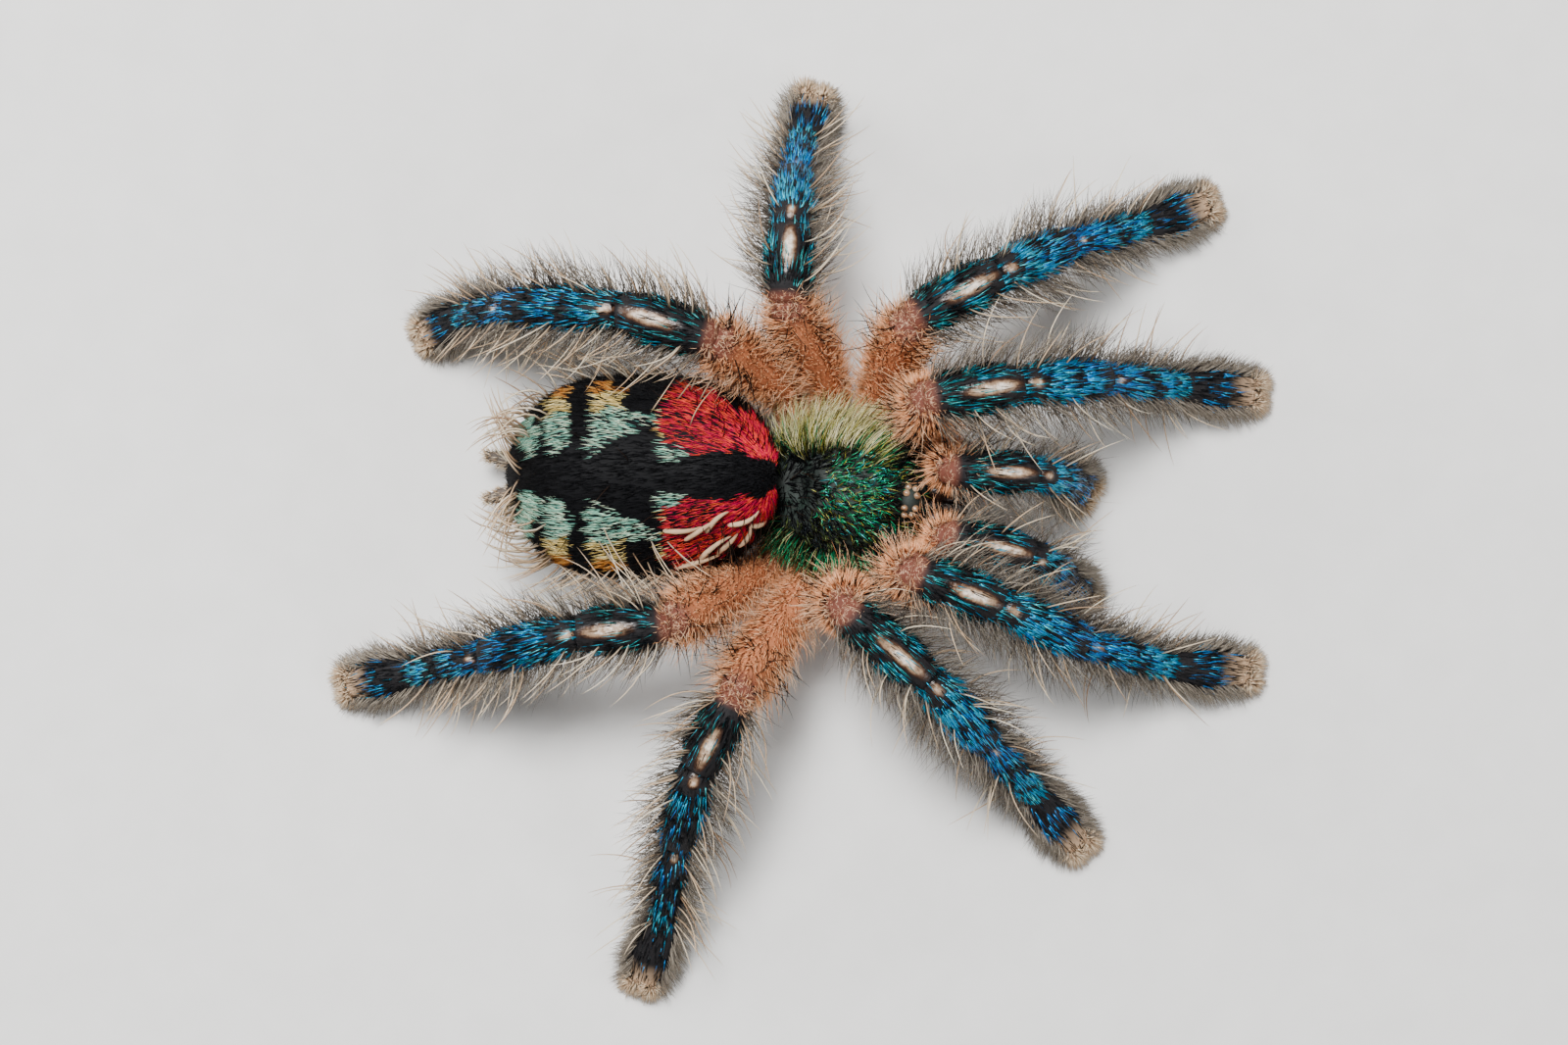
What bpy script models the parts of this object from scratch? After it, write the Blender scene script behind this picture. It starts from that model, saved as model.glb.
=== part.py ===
"""A dried arboreal tarantula, standing on the flat soles of its eight legs and two palps.

The head points towards +X, the animal's left side towards +Y and up is +Z. The floor is z = 0, and the
origin is on it, under the middle of the leg span. Tables and sizes are in millimetres, and every
shape is turned into metres where its mesh is made.
"""

import math
import random

import bmesh
import bpy
from mathutils import Matrix, Vector

MM = 0.001
OUTLINE_MIDDLE = Vector((0.83, -0.86, 0.0))  # middle of the leg span in the table's frame

# The front body: a carapace over a breastplate, turned a little to the animal's right.
FRONT_BODY_CENTRE = Vector((2.6, 1.45, 4.3))
FRONT_BODY_YAW = math.radians(-8.0)
CARAPACE_HALF_LENGTH = 4.2
CARAPACE_HALF_WIDTH = 3.6
CARAPACE_RISE = 2.2
CARAPACE_DROP = 0.55
REAR_SLOPE = 0.3  # share of the rise that is lost by the rear edge
HEAD_LIFT = 0.5
HEAD_X = 2.3
HEAD_REACH = 1.5
FURROW_DEPTH = 0.22
FURROW_ANGLES = (30.0, 75.0, 105.0, 150.0)
FURROW_WIDTH = 6.0  # degrees
FURROW_MIDDLE = 0.65  # share of the way from the middle to the rim
FURROW_REACH = 0.25
FOVEA_X = -1.9
FOVEA_RADII = (0.32, 0.8, 0.45)
BREASTPLATE_MIDDLE = (0.2, 0.0, -0.75)
BREASTPLATE_RADII = (3.2, 1.75, 0.9)
EYE_MOUND_X = 3.3
EYE_MOUND_RADII = (0.55, 0.75, 0.45)
EYE_RADIUS = 0.17
EYES = ((0.32, 0.3), (0.2, 0.62), (-0.15, 0.66), (-0.2, 0.36))  # forwards and sideways on the mound

# The hind body.
ABDOMEN_LENGTH = 12.4
ABDOMEN_HALF_WIDTH = 4.7
ABDOMEN_HALF_HEIGHT = 3.9
ABDOMEN_BLUNTNESS = (2.9, 2.8)  # of the rear and the front end: 2 is round, more is squarer
ABDOMEN_REAR = Vector((-12.8, 2.15, 4.9))
ABDOMEN_FRONT_LIFT = 1.9
ABDOMEN_FRONT_TUCK = 0.8  # share of its depth below the middle that is lost by the front
STALK_START = Vector((9.7, 0.0, -0.9))
STALK_END = (-3.5, 0.0, 2.95)
STALK_RADII = (0.8, 0.5)

# Where each limb leaves the breastplate: forwards, sideways, and the way its coxa points.
HIPS = {
    "palp": (3.0, 1.35, 28.0),
    "1": (2.0, 2.1, 45.0),
    "2": (0.65, 2.4, 78.0),
    "3": (-0.75, 2.4, 98.0),
    "4": (-2.1, 2.3, 118.0),
}
HIP_HEIGHT = 3.3
COXA_LENGTH = 1.6
TROCHANTER_LENGTH = 0.8
COXA_END_HEIGHT = 3.6
TROCHANTER_END_HEIGHT = 4.1

# The joints of each limb from knee to toe, as x, y and height.
LIMB_JOINTS = {
    "leg_left_1": (
        (6.6, 5.7, 9.6), (11.0, 6.4, 9.1), (15.0, 6.7, 6.2),
        (18.8, 6.5, 2.1), (22.3, 6.2, 0.5),
    ),
    "leg_left_2": (
        (5.9, 9.4, 8.8), (9.9, 11.5, 8.4), (13.3, 13.0, 5.4),
        (17.0, 14.1, 2.0), (20.0, 15.1, 0.5),
    ),
    "leg_left_3": (
        (0.1, 10.3, 9.0), (0.3, 13.7, 8.6), (0.5, 16.2, 5.3),
        (0.9, 18.2, 2.1), (1.4, 20.1, 0.5),
    ),
    "leg_left_4": (
        (-3.3, 8.5, 9.2), (-7.6, 9.8, 8.9), (-12.9, 10.1, 6.0),
        (-15.2, 9.8, 2.1), (-16.9, 9.0, 0.5),
    ),
    "leg_right_1": (
        (6.0, -2.3, 9.6), (10.0, -3.8, 9.1), (13.9, -5.6, 6.3),
        (18.2, -6.8, 2.1), (22.0, -7.1, 0.5),
    ),
    "leg_right_2": (
        (2.8, -4.0, 9.5), (6.6, -7.2, 8.9), (9.4, -10.2, 5.8),
        (11.8, -12.8, 2.0), (14.0, -15.3, 0.5),
    ),
    "leg_right_3": (
        (-2.3, -8.1, 8.5), (-4.0, -11.4, 7.9), (-5.0, -15.0, 5.3),
        (-5.8, -19.0, 2.0), (-6.7, -21.8, 0.5),
    ),
    "leg_right_4": (
        (-5.4, -4.7, 8.8), (-9.5, -5.1, 8.4), (-14.0, -6.2, 6.0),
        (-17.6, -7.1, 2.1), (-20.6, -7.7, 0.5),
    ),
    "palp_left": (
        (7.7, 2.4, 7.8), (11.7, 2.3, 7.2), (13.4, 2.0, 4.0),
        (14.2, 1.5, 0.5),
    ),
    "palp_right": (
        (7.6, -0.6, 7.6), (11.5, -1.5, 7.0), (13.1, -2.6, 3.9),
        (14.1, -3.7, 0.5),
    ),
}

# Thickest radius of each segment, for a leg and for a palp.
LEG_RADII = {
    "coxa": 0.56,
    "trochanter": 0.72,
    "femur": 1.12,
    "patella": 1.15,
    "tibia": 1.02,
    "metatarsus": 0.82,
    "tarsus": 0.72,
}
PALP_RADII = {
    "coxa": 0.52,
    "trochanter": 0.62,
    "femur": 0.82,
    "patella": 0.98,
    "tibia": 0.86,
    "tarsus": 0.72,
}
TARSUS_SPREAD = 1.5  # its brush makes a tarsus this much wider than it is high

# Each segment swells and narrows along its length: share of the length, share of the radius.
BARRELS = {
    "coxa": ((0.0, 0.9), (1.0, 1.0)),
    "trochanter": ((0.0, 0.9), (1.0, 1.0)),
    "femur": ((0.0, 0.62), (0.3, 0.95), (0.78, 1.0), (1.0, 0.66)),
    "patella": ((0.0, 0.6), (0.2, 0.92), (0.7, 1.0), (1.0, 0.68)),
    "tibia": ((0.0, 0.72), (0.25, 1.0), (0.8, 0.97), (1.0, 0.7)),
    "metatarsus": ((0.0, 0.78), (0.4, 1.0), (1.0, 0.78)),
    "tarsus": ((0.0, 0.75), (0.5, 1.0), (1.0, 0.62)),
}
PLAIN_KINDS = ("coxa", "trochanter", "tarsus")  # hidden or brush-covered, with fewer sides
JOINT_OVERLAP = 0.3
CLAW_TUFT_RADIUS = 0.58
CLAW_TUFT_HEIGHT = 0.34
CLAW_TUFT_REACH = 0.2
CLAW_TUFT_SPLAY = 0.42

# Hair that stands out is drawn together into pointed locks: how many, and how long.
LOCK_TILTS = (-5.0, 30.0)  # degrees above the leg's side
LOCK_LEANS = (0.35, 0.7)  # towards the toe, against 1 outwards
LOCK_ROOT_DEPTH = 0.28  # share of the segment's radius that a root is sunk
LOCKS = {
    "femur": (2, 1.5),
    "patella": (3, 1.7),
    "tibia": (4, 2.3),
    "metatarsus": (4, 1.9),
}
LOCK_BASE_RADIUS = 0.3
LOCK_ROOM = 0.55  # least distance from a lock's tip to another piece's skin
LOCK_LEAST_HEIGHT = 0.6
ABDOMEN_LOCKS = 14
ABDOMEN_LOCK_LENGTH = 2.3
ABDOMEN_LOCK_SINK = 0.4
ABDOMEN_LOCK_SHARES = (0.04, 0.64)  # first and last place, from the rear forwards
ABDOMEN_LOCK_SPREAD = (55.0, 85.0)  # degrees from the top of the abdomen

CHELICERA_ROUTE = ((3.95, 0.62, 3.6), (4.6, 0.64, 3.75), (5.5, 0.66, 3.3), (6.0, 0.66, 2.7))
CHELICERA_RADII = (0.38, 0.54, 0.51, 0.32)
FANG_ROUTE = ((5.9, 0.66, 2.75), (6.0, 0.66, 2.1), (5.6, 0.66, 1.6), (5.0, 0.66, 1.3))
FANG_RADII = (0.2, 0.17, 0.11, 0.03)
SPINNERET_ROUTE = ((0.35, 0.6, -2.3), (-0.1, 0.75, -2.6), (-0.7, 0.9, -2.8), (-1.4, 1.05, -2.9))
SPINNERET_RADII = (0.46, 0.42, 0.34, 0.16)

COLOURS = {
    "carapace_green": (0.03, 0.12, 0.07, 0.35, 0.3),
    "abdomen_black": (0.012, 0.011, 0.012, 0.6, 0.0),
    "leg_blue_black": (0.02, 0.035, 0.05, 0.4, 0.2),
    "chelicera_brown": (0.05, 0.03, 0.02, 0.3, 0.0),
    "spinneret_grey": (0.12, 0.09, 0.07, 0.7, 0.0),
}


def clear_scene():
    for old in list(bpy.data.objects):
        bpy.data.objects.remove(old)


def new_collection(name):
    made = bpy.data.collections.new(name)
    bpy.context.scene.collection.children.link(made)
    return made


def principled(name):
    red, green, blue, roughness, metallic = COLOURS[name]
    material = bpy.data.materials.new(name)
    material.use_nodes = True
    shader = material.node_tree.nodes["Principled BSDF"]
    shader.inputs["Base Color"].default_value = (red, green, blue, 1.0)
    shader.inputs["Roughness"].default_value = roughness
    shader.inputs["Metallic"].default_value = metallic
    return material


def from_table(point):
    """A point of the tables, in millimetres about the part's own origin."""
    return Vector(point) - OUTLINE_MIDDLE


def on_front_body(forwards, sideways, height):
    """A point given along and across the front body, in the tables' frame."""
    turned = Matrix.Rotation(FRONT_BODY_YAW, 3, "Z") @ Vector((forwards, sideways, 0.0))
    return Vector((FRONT_BODY_CENTRE.x + turned.x, FRONT_BODY_CENTRE.y + turned.y, height))


def add_object(name, bm, collection, helper=False):
    """Makes an object of a mesh drawn in millimetres."""
    bmesh.ops.recalc_face_normals(bm, faces=bm.faces)
    bmesh.ops.scale(bm, vec=(MM, MM, MM), verts=bm.verts)
    mesh = bpy.data.meshes.new(name)
    bm.to_mesh(mesh)
    bm.free()
    made = bpy.data.objects.new(name, mesh)
    collection.objects.link(made)
    if helper:
        made.hide_render = True
        made.display_type = "WIRE"
    return made


def ball(centre, radii, segments, rings, turn=None):
    """A round body with three radii, in millimetres."""
    bm = bmesh.new()
    bmesh.ops.create_uvsphere(bm, u_segments=segments, v_segments=rings, radius=1.0)
    place = Matrix.Translation(centre) @ (turn or Matrix.Identity(4)) @ Matrix.Diagonal((*radii, 1.0))
    bmesh.ops.transform(bm, matrix=place, verts=bm.verts)
    return bm


def tube(points, radii, smoothness=2):
    """A closed tube through the points with a radius at each, in millimetres, as a mesh."""
    curve = bpy.data.curves.new("route", "CURVE")
    curve.dimensions = "3D"
    curve.bevel_depth = 1.0
    curve.bevel_resolution = smoothness
    curve.use_fill_caps = True
    spline = curve.splines.new("POLY")
    spline.points.add(len(points) - 1)
    for knot, point, radius in zip(spline.points, points, radii):
        knot.co = (*point, 1.0)
        knot.radius = radius
    guide = bpy.data.objects.new("route", curve)
    bpy.context.scene.collection.objects.link(guide)
    graph = bpy.context.evaluated_depsgraph_get()
    mesh = bpy.data.meshes.new_from_object(guide.evaluated_get(graph))
    bpy.data.objects.remove(guide)
    bm = bmesh.new()
    bm.from_mesh(mesh)
    bpy.data.meshes.remove(mesh)
    bmesh.ops.remove_doubles(bm, verts=bm.verts, dist=1e-4)
    return bm


def barrel(kind, start, end, radius, spread=1.0):
    """One limb segment, which runs a little past both of its joints into its neighbours."""
    along = (end - start).normalized()
    start = start - along * JOINT_OVERLAP
    end = end + along * JOINT_OVERLAP
    shares = [share for share, _ in BARRELS[kind]]
    points = [start.lerp(end, share) for share in shares]
    bm = tube(points, [radius * swell for _, swell in BARRELS[kind]], 1 if kind in PLAIN_KINDS else 2)
    across = along.cross(Vector((0.0, 0.0, 1.0))).normalized()
    for vertex in bm.verts:
        vertex.co += across * (vertex.co - start).dot(across) * (spread - 1.0)
    return bm


def hip_joints(side, hip):
    """The points where a limb leaves the breastplate and where its two short segments end."""
    forwards, sideways, heading = HIPS[hip]
    heading = math.radians(heading)
    way = Vector((math.cos(heading), math.sin(heading)))
    reaches = (0.0, COXA_LENGTH, COXA_LENGTH + TROCHANTER_LENGTH)
    heights = (HIP_HEIGHT, COXA_END_HEIGHT, TROCHANTER_END_HEIGHT)
    return [
        on_front_body(forwards + way.x * reach, side * (sideways + way.y * reach), height)
        for reach, height in zip(reaches, heights)
    ]


def limb_joints(name):
    side = 1 if "left" in name else -1
    hip = name.split("_")[0] if name.startswith("palp") else name.split("_")[2]
    joints = hip_joints(side, hip) + [Vector(point) for point in LIMB_JOINTS[name]]
    return [joint - OUTLINE_MIDDLE for joint in joints]


def limb_radii(name):
    return PALP_RADII if name.startswith("palp") else LEG_RADII


def distance_to_route(point, joints):
    """How far a point is from a limb's centre line."""
    nearest = math.inf
    for start, end in zip(joints, joints[1:]):
        along = end - start
        share = max(0.0, min(1.0, (point - start).dot(along) / along.length_squared))
        nearest = min(nearest, (point - start - along * share).length)
    return nearest


def near_a_limb(tip, limbs):
    least = max(LEG_RADII.values()) + LOCK_ROOM
    return any(distance_to_route(tip, joints) < least for joints in limbs)


def near_abdomen(tip):
    """Whether a tip is inside the hind body or closer over its skin than a lock may come."""
    local = tip - from_table(ABDOMEN_REAR)
    share = local.x / ABDOMEN_LENGTH
    swell = abdomen_swell(share) if 0.0 < share < 1.0 else 0.0
    lift = ABDOMEN_FRONT_LIFT * max(0.0, 2.0 * share - 1.0) ** 2
    across = local.y / (ABDOMEN_HALF_WIDTH * swell + LOCK_ROOM)
    upward = (local.z - lift) / (ABDOMEN_HALF_HEIGHT * swell + LOCK_ROOM)
    return math.hypot(across, upward) < 1.0


def pointed_lock(root, way, length):
    """A tuft of hairs drawn to a point, as a slim pyramid whose foot is in the skin."""
    bm = bmesh.new()
    bmesh.ops.create_cone(
        bm, cap_ends=True, segments=3, radius1=LOCK_BASE_RADIUS, radius2=0.0, depth=length
    )
    turn = way.to_track_quat("Z", "Y").to_matrix().to_4x4()
    place = Matrix.Translation(root + way * length / 2) @ turn
    bmesh.ops.transform(bm, matrix=place, verts=bm.verts)
    return bm


def fuse(base, others):
    for other in others:
        union = base.modifiers.new(other.name, "BOOLEAN")
        union.operation = "UNION"
        union.solver = "EXACT"
        union.object = other


def cut(base, cutter):
    difference = base.modifiers.new(cutter.name, "BOOLEAN")
    difference.operation = "DIFFERENCE"
    difference.solver = "EXACT"
    difference.object = cutter


def limb_locks(name, kinds, joints, routes, chance):
    """Locks along both sides of a limb, left out where they would meet a neighbour or the floor."""
    neighbours = [route for other, route in routes.items() if other != name]
    shapes = []
    for kind, start, end in zip(kinds, joints, joints[1:]):
        if kind not in LOCKS:
            continue
        count, length = LOCKS[kind]
        radius = limb_radii(name)[kind]
        along = (end - start).normalized()
        across = along.cross(Vector((0.0, 0.0, 1.0))).normalized()
        upward = across.cross(along)
        for index in range(count):
            side = 1 if index % 2 else -1
            share = (index + 1.0) / (count + 1.0)
            tilt = math.radians(chance.uniform(*LOCK_TILTS))
            outward = (across * side * math.cos(tilt) + upward * math.sin(tilt)).normalized()
            way = (outward + along * chance.uniform(*LOCK_LEANS)).normalized()
            root = start.lerp(end, share) + outward * radius * (1.0 - LOCK_ROOT_DEPTH)
            tip = root + way * length
            if tip.z < LOCK_LEAST_HEIGHT or near_a_limb(tip, neighbours) or near_abdomen(tip):
                continue
            shapes.append(pointed_lock(root, way, length))
    return shapes


def claw_tufts(joints):
    """The two round pads of fine hair at the tip of the last segment."""
    start, toe = joints[-2], joints[-1]
    along = Vector((toe.x - start.x, toe.y - start.y, 0.0)).normalized()
    across = along.cross(Vector((0.0, 0.0, 1.0)))
    middle = Vector((toe.x, toe.y, CLAW_TUFT_HEIGHT)) + along * CLAW_TUFT_REACH
    centres = [middle + across * CLAW_TUFT_SPLAY * side for side in (-1, 1)]
    return [ball(centre, (CLAW_TUFT_RADIUS,) * 3, 6, 4) for centre in centres]


def build_limb(name, routes, parts, helpers, floor, chance):
    joints = routes[name]
    radii = limb_radii(name)
    kinds = list(radii)
    segments = []
    for kind, start, end in zip(kinds, joints, joints[1:]):
        spread = TARSUS_SPREAD if kind == "tarsus" else 1.0
        segments.append((kind, barrel(kind, start, end, radii[kind], spread)))
    limb = add_object(name, segments[0][1], parts)
    others = [add_object(f"{name}.{kind}", bm, helpers, helper=True) for kind, bm in segments[1:]]
    for side, tuft in zip(("a", "b"), claw_tufts(joints)):
        others.append(add_object(f"{name}.tuft_{side}", tuft, helpers, helper=True))
    shapes = limb_locks(name, kinds, joints, routes, chance)
    for index, bm in enumerate(shapes):
        others.append(add_object(f"{name}.lock_{index}", bm, helpers, helper=True))
    fuse(limb, others)
    cut(limb, floor)
    return limb


def carapace_top(x, y):
    """Height of the carapace above its rim at a place along and across it: dome, head and furrows."""
    reach = math.hypot(x / CARAPACE_HALF_LENGTH, y / CARAPACE_HALF_WIDTH)
    dome = CARAPACE_RISE * math.sqrt(max(0.0, 1.0 - reach**2))
    head = HEAD_LIFT * math.exp(-(((x - HEAD_X) / HEAD_REACH) ** 2) - (y / HEAD_REACH) ** 2)
    angle = abs(math.degrees(math.atan2(y / CARAPACE_HALF_WIDTH, x / CARAPACE_HALF_LENGTH)))
    nearest = min(abs(angle - furrow) for furrow in FURROW_ANGLES)
    halfway = math.exp(-(((reach - FURROW_MIDDLE) / FURROW_REACH) ** 2))
    furrow = FURROW_DEPTH * halfway * math.exp(-((nearest / FURROW_WIDTH) ** 2))
    slope = 1.0 - REAR_SLOPE * max(0.0, -x / CARAPACE_HALF_LENGTH)
    return dome * slope + (head - furrow) * min(1.0, dome)


def build_front_body(parts, helpers):
    """Carapace, breastplate and the mound of eyes: one hard shell."""
    place = Matrix.Translation(from_table(FRONT_BODY_CENTRE)) @ Matrix.Rotation(FRONT_BODY_YAW, 4, "Z")
    radii = (CARAPACE_HALF_LENGTH, CARAPACE_HALF_WIDTH, CARAPACE_DROP)
    shell = ball(Vector((0.0, 0.0, 0.0)), radii, 24, 10)
    for vertex in shell.verts:
        if vertex.co.z > 0.0:
            vertex.co.z = carapace_top(vertex.co.x, vertex.co.y)
    bmesh.ops.transform(shell, matrix=place, verts=shell.verts)
    body = add_object("cephalothorax", shell, parts)

    mound_top = carapace_top(EYE_MOUND_X, 0.0)
    fovea_top = carapace_top(FOVEA_X, 0.0)
    rounds = [
        ("breastplate", BREASTPLATE_MIDDLE, BREASTPLATE_RADII, 12, 6),
        ("eye_mound", (EYE_MOUND_X, 0.0, mound_top), EYE_MOUND_RADII, 8, 6),
        ("fovea_cutter", (FOVEA_X, 0.0, fovea_top), FOVEA_RADII, 8, 6),
    ]
    for side in (-1, 1):
        for index, (forwards, sideways) in enumerate(EYES):
            on_mound = 1.0 - (forwards / EYE_MOUND_RADII[0]) ** 2 - (sideways / EYE_MOUND_RADII[1]) ** 2
            height = mound_top + EYE_MOUND_RADII[2] * math.sqrt(max(0.0, on_mound))
            middle = (EYE_MOUND_X + forwards, side * sideways, height)
            rounds.append((f"eye_{side}_{index}", middle, (EYE_RADIUS,) * 3, 5, 4))
    made = []
    for name, middle, radii, segments, rings in rounds:
        bm = ball(Vector(middle), radii, segments, rings)
        bmesh.ops.transform(bm, matrix=place, verts=bm.verts)
        made.append(add_object(name, bm, helpers, helper=True))
    fovea = made.pop(2)
    fuse(body, made)
    cut(body, fovea)
    return body


def abdomen_swell(share):
    """Half width of the abdomen at this share of its length, as a share of the widest."""
    bluntness = ABDOMEN_BLUNTNESS[share > 0.5]
    return math.sqrt(max(0.0, 1.0 - abs(2.0 * share - 1.0) ** bluntness))


def abdomen_point(share, angle):
    """A point of the abdomen's skin: share of the length from the rear, angle from the left side up."""
    swell = abdomen_swell(share)
    forward = max(0.0, 2.0 * share - 1.0) ** 2
    height = ABDOMEN_HALF_HEIGHT * swell * math.sin(angle)
    if height < 0.0:
        height *= 1.0 - ABDOMEN_FRONT_TUCK * forward
    width = ABDOMEN_HALF_WIDTH * swell * math.cos(angle)
    local = Vector((share * ABDOMEN_LENGTH, width, height + ABDOMEN_FRONT_LIFT * forward))
    return from_table(ABDOMEN_REAR) + local


def abdomen_locks(limbs, chance):
    """Locks along both sides and round the rear, pointing outwards and back."""
    rear, front = ABDOMEN_LOCK_SHARES
    shapes = []
    for index in range(ABDOMEN_LOCKS):
        side = 1 if index % 2 else -1
        share = rear + (front - rear) * (index // 2) / (ABDOMEN_LOCKS // 2 - 1)
        angle = math.radians(90.0 - side * chance.uniform(*ABDOMEN_LOCK_SPREAD))
        way = Vector((-0.9, side, 0.35)).normalized()
        root = abdomen_point(share, angle) - way * ABDOMEN_LOCK_SINK
        if not near_a_limb(root + way * ABDOMEN_LOCK_LENGTH, limbs):
            shapes.append(pointed_lock(root, way, ABDOMEN_LOCK_LENGTH))
    return shapes


def build_abdomen(parts, helpers, chance, limbs):
    """The hind body with its short stalk and the locks along its sides and rear."""
    bm = bmesh.new()
    bmesh.ops.create_uvsphere(bm, u_segments=22, v_segments=14, radius=1.0)
    for vertex in bm.verts:
        vertex.co = abdomen_point((1.0 - vertex.co.z) / 2.0, math.atan2(vertex.co.y, vertex.co.x))
    abdomen = add_object("abdomen", bm, parts)
    stalk_ends = [from_table(ABDOMEN_REAR) + STALK_START, from_table(on_front_body(*STALK_END))]
    others = [add_object("stalk", tube(stalk_ends, STALK_RADII), helpers, helper=True)]
    for index, lock in enumerate(abdomen_locks(limbs, chance)):
        others.append(add_object(f"abdomen.lock_{index}", lock, helpers, helper=True))
    fuse(abdomen, others)
    return abdomen


def build_pair(name, tubes, place, parts, helpers):
    """The left and right piece of a small pair: tapering tubes fused end to end."""
    made = []
    for side, word in ((1, "left"), (-1, "right")):
        shapes = []
        for route, radii in tubes:
            shapes.append(tube([place(x, side * y, z) for x, y, z in route], radii))
        piece = add_object(f"{name}_{word}", shapes[0], parts)
        tips = [add_object(f"{name}_{word}.tip", shape, helpers, helper=True) for shape in shapes[1:]]
        fuse(piece, tips)
        made.append(piece)
    return made


def on_front_body_of_part(x, y, z):
    return from_table(on_front_body(x, y, z))


def behind_abdomen(x, y, z):
    return from_table(ABDOMEN_REAR) + Vector((x, y, z))


def floor_block(helpers):
    """A block whose top is the floor, to cut the soles flat."""
    bm = bmesh.new()
    bmesh.ops.create_cube(bm, size=1.0)
    place = Matrix.Translation((0.0, 0.0, -5.0)) @ Matrix.Diagonal((90.0, 90.0, 10.0, 1.0))
    bmesh.ops.transform(bm, matrix=place, verts=bm.verts)
    return add_object("floor_cutter", bm, helpers, helper=True)


def main():
    clear_scene()
    parts = new_collection("tarantula_specimen")
    helpers = new_collection("helpers")
    chance = random.Random(11)
    routes = {name: limb_joints(name) for name in LIMB_JOINTS}
    floor = floor_block(helpers)
    chelicera_tubes = ((CHELICERA_ROUTE, CHELICERA_RADII), (FANG_ROUTE, FANG_RADII))
    spinneret_tubes = ((SPINNERET_ROUTE, SPINNERET_RADII),)
    finishes = {
        "carapace_green": [build_front_body(parts, helpers)],
        "abdomen_black": [build_abdomen(parts, helpers, chance, routes.values())],
        "leg_blue_black": [build_limb(name, routes, parts, helpers, floor, chance) for name in routes],
        "chelicera_brown": build_pair("chelicera", chelicera_tubes, on_front_body_of_part, parts, helpers),
        "spinneret_grey": build_pair("spinneret", spinneret_tubes, behind_abdomen, parts, helpers),
    }
    for name, pieces in finishes.items():
        material = principled(name)
        for piece in pieces:
            piece.data.materials.append(material)


main()
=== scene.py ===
"""The looks of a dried tree tarantula: smooth shells, and every hair as a thin closed mesh.

Sizes and places are in millimetres, and are turned into metres where a mesh is made. The tables of
joints repeat those of the solids, in the same frame. Angles round a limb or the abdomen are in
degrees from its top.
"""

import math
from collections import namedtuple

import bpy
import numpy as np
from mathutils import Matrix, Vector


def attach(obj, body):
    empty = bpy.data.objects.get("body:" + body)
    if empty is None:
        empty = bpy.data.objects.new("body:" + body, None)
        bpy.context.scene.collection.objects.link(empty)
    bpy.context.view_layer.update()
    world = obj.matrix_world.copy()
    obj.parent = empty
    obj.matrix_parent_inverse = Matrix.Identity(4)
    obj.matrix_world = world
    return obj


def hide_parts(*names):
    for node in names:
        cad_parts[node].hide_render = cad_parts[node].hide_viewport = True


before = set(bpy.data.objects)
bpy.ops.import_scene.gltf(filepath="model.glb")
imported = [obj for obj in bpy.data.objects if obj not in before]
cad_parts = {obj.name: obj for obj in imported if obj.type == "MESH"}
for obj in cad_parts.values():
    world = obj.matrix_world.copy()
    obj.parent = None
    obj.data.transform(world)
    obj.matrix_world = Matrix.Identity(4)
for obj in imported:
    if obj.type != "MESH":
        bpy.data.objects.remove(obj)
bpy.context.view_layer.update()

MM = 0.001
UP = np.array([0.0, 0.0, 1.0])
LEAST_HEIGHT = 0.02  # no hair goes lower than this above the floor
ROOT_DEPTH = 0.03  # how deep a hair's root sits under the skin
END_ROUNDING = 2.6  # how soon a rounded end reaches its full radius
OUTLINE_MIDDLE = np.array([0.83, -0.86, 0.0])
CAMERA_HEIGHT = 260.0
FOCAL_LENGTH = 124.74

# The front body, as in the solids.
FRONT_BODY_CENTRE = np.array([2.6, 1.45, 4.3])
FRONT_BODY_YAW = math.radians(-8.0)
CARAPACE_HALF_LENGTH = 4.2
CARAPACE_HALF_WIDTH = 3.6
CARAPACE_RISE = 2.2
CARAPACE_DROP = 0.55
REAR_SLOPE = 0.3
HEAD_LIFT = 0.5
HEAD_X = 2.3
HEAD_REACH = 1.5
FURROW_DEPTH = 0.22
FURROW_ANGLES = (30.0, 75.0, 105.0, 150.0)
FURROW_WIDTH = 6.0
FURROW_MIDDLE = 0.65
FURROW_REACH = 0.25
FOVEA_X = -1.9
FOVEA_RADII = (0.42, 0.85)
FOVEA_DEPTH = 0.5
BREASTPLATE_MIDDLE = (0.2, 0.0, -0.75)
BREASTPLATE_RADII = (3.2, 1.75, 0.9)
EYE_MOUND_X = 3.3
EYE_MOUND_RADII = (0.55, 0.75, 0.45)
EYE_RADIUS = 0.17
EYES = ((0.32, 0.3), (0.2, 0.62), (-0.15, 0.66), (-0.2, 0.36))

# The hind body, as in the solids.
ABDOMEN_LENGTH = 12.4
ABDOMEN_HALF_WIDTH = 4.7
ABDOMEN_HALF_HEIGHT = 3.9
ABDOMEN_BLUNTNESS = (2.9, 2.8)
ABDOMEN_REAR = np.array([-12.8, 2.15, 4.9])
ABDOMEN_FRONT_LIFT = 1.9
ABDOMEN_FRONT_TUCK = 0.8
STALK_START = np.array([9.7, 0.0, -0.9])
STALK_END = (-3.5, 0.0, 2.95)
STALK_RADII = (0.8, 0.5)

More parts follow.
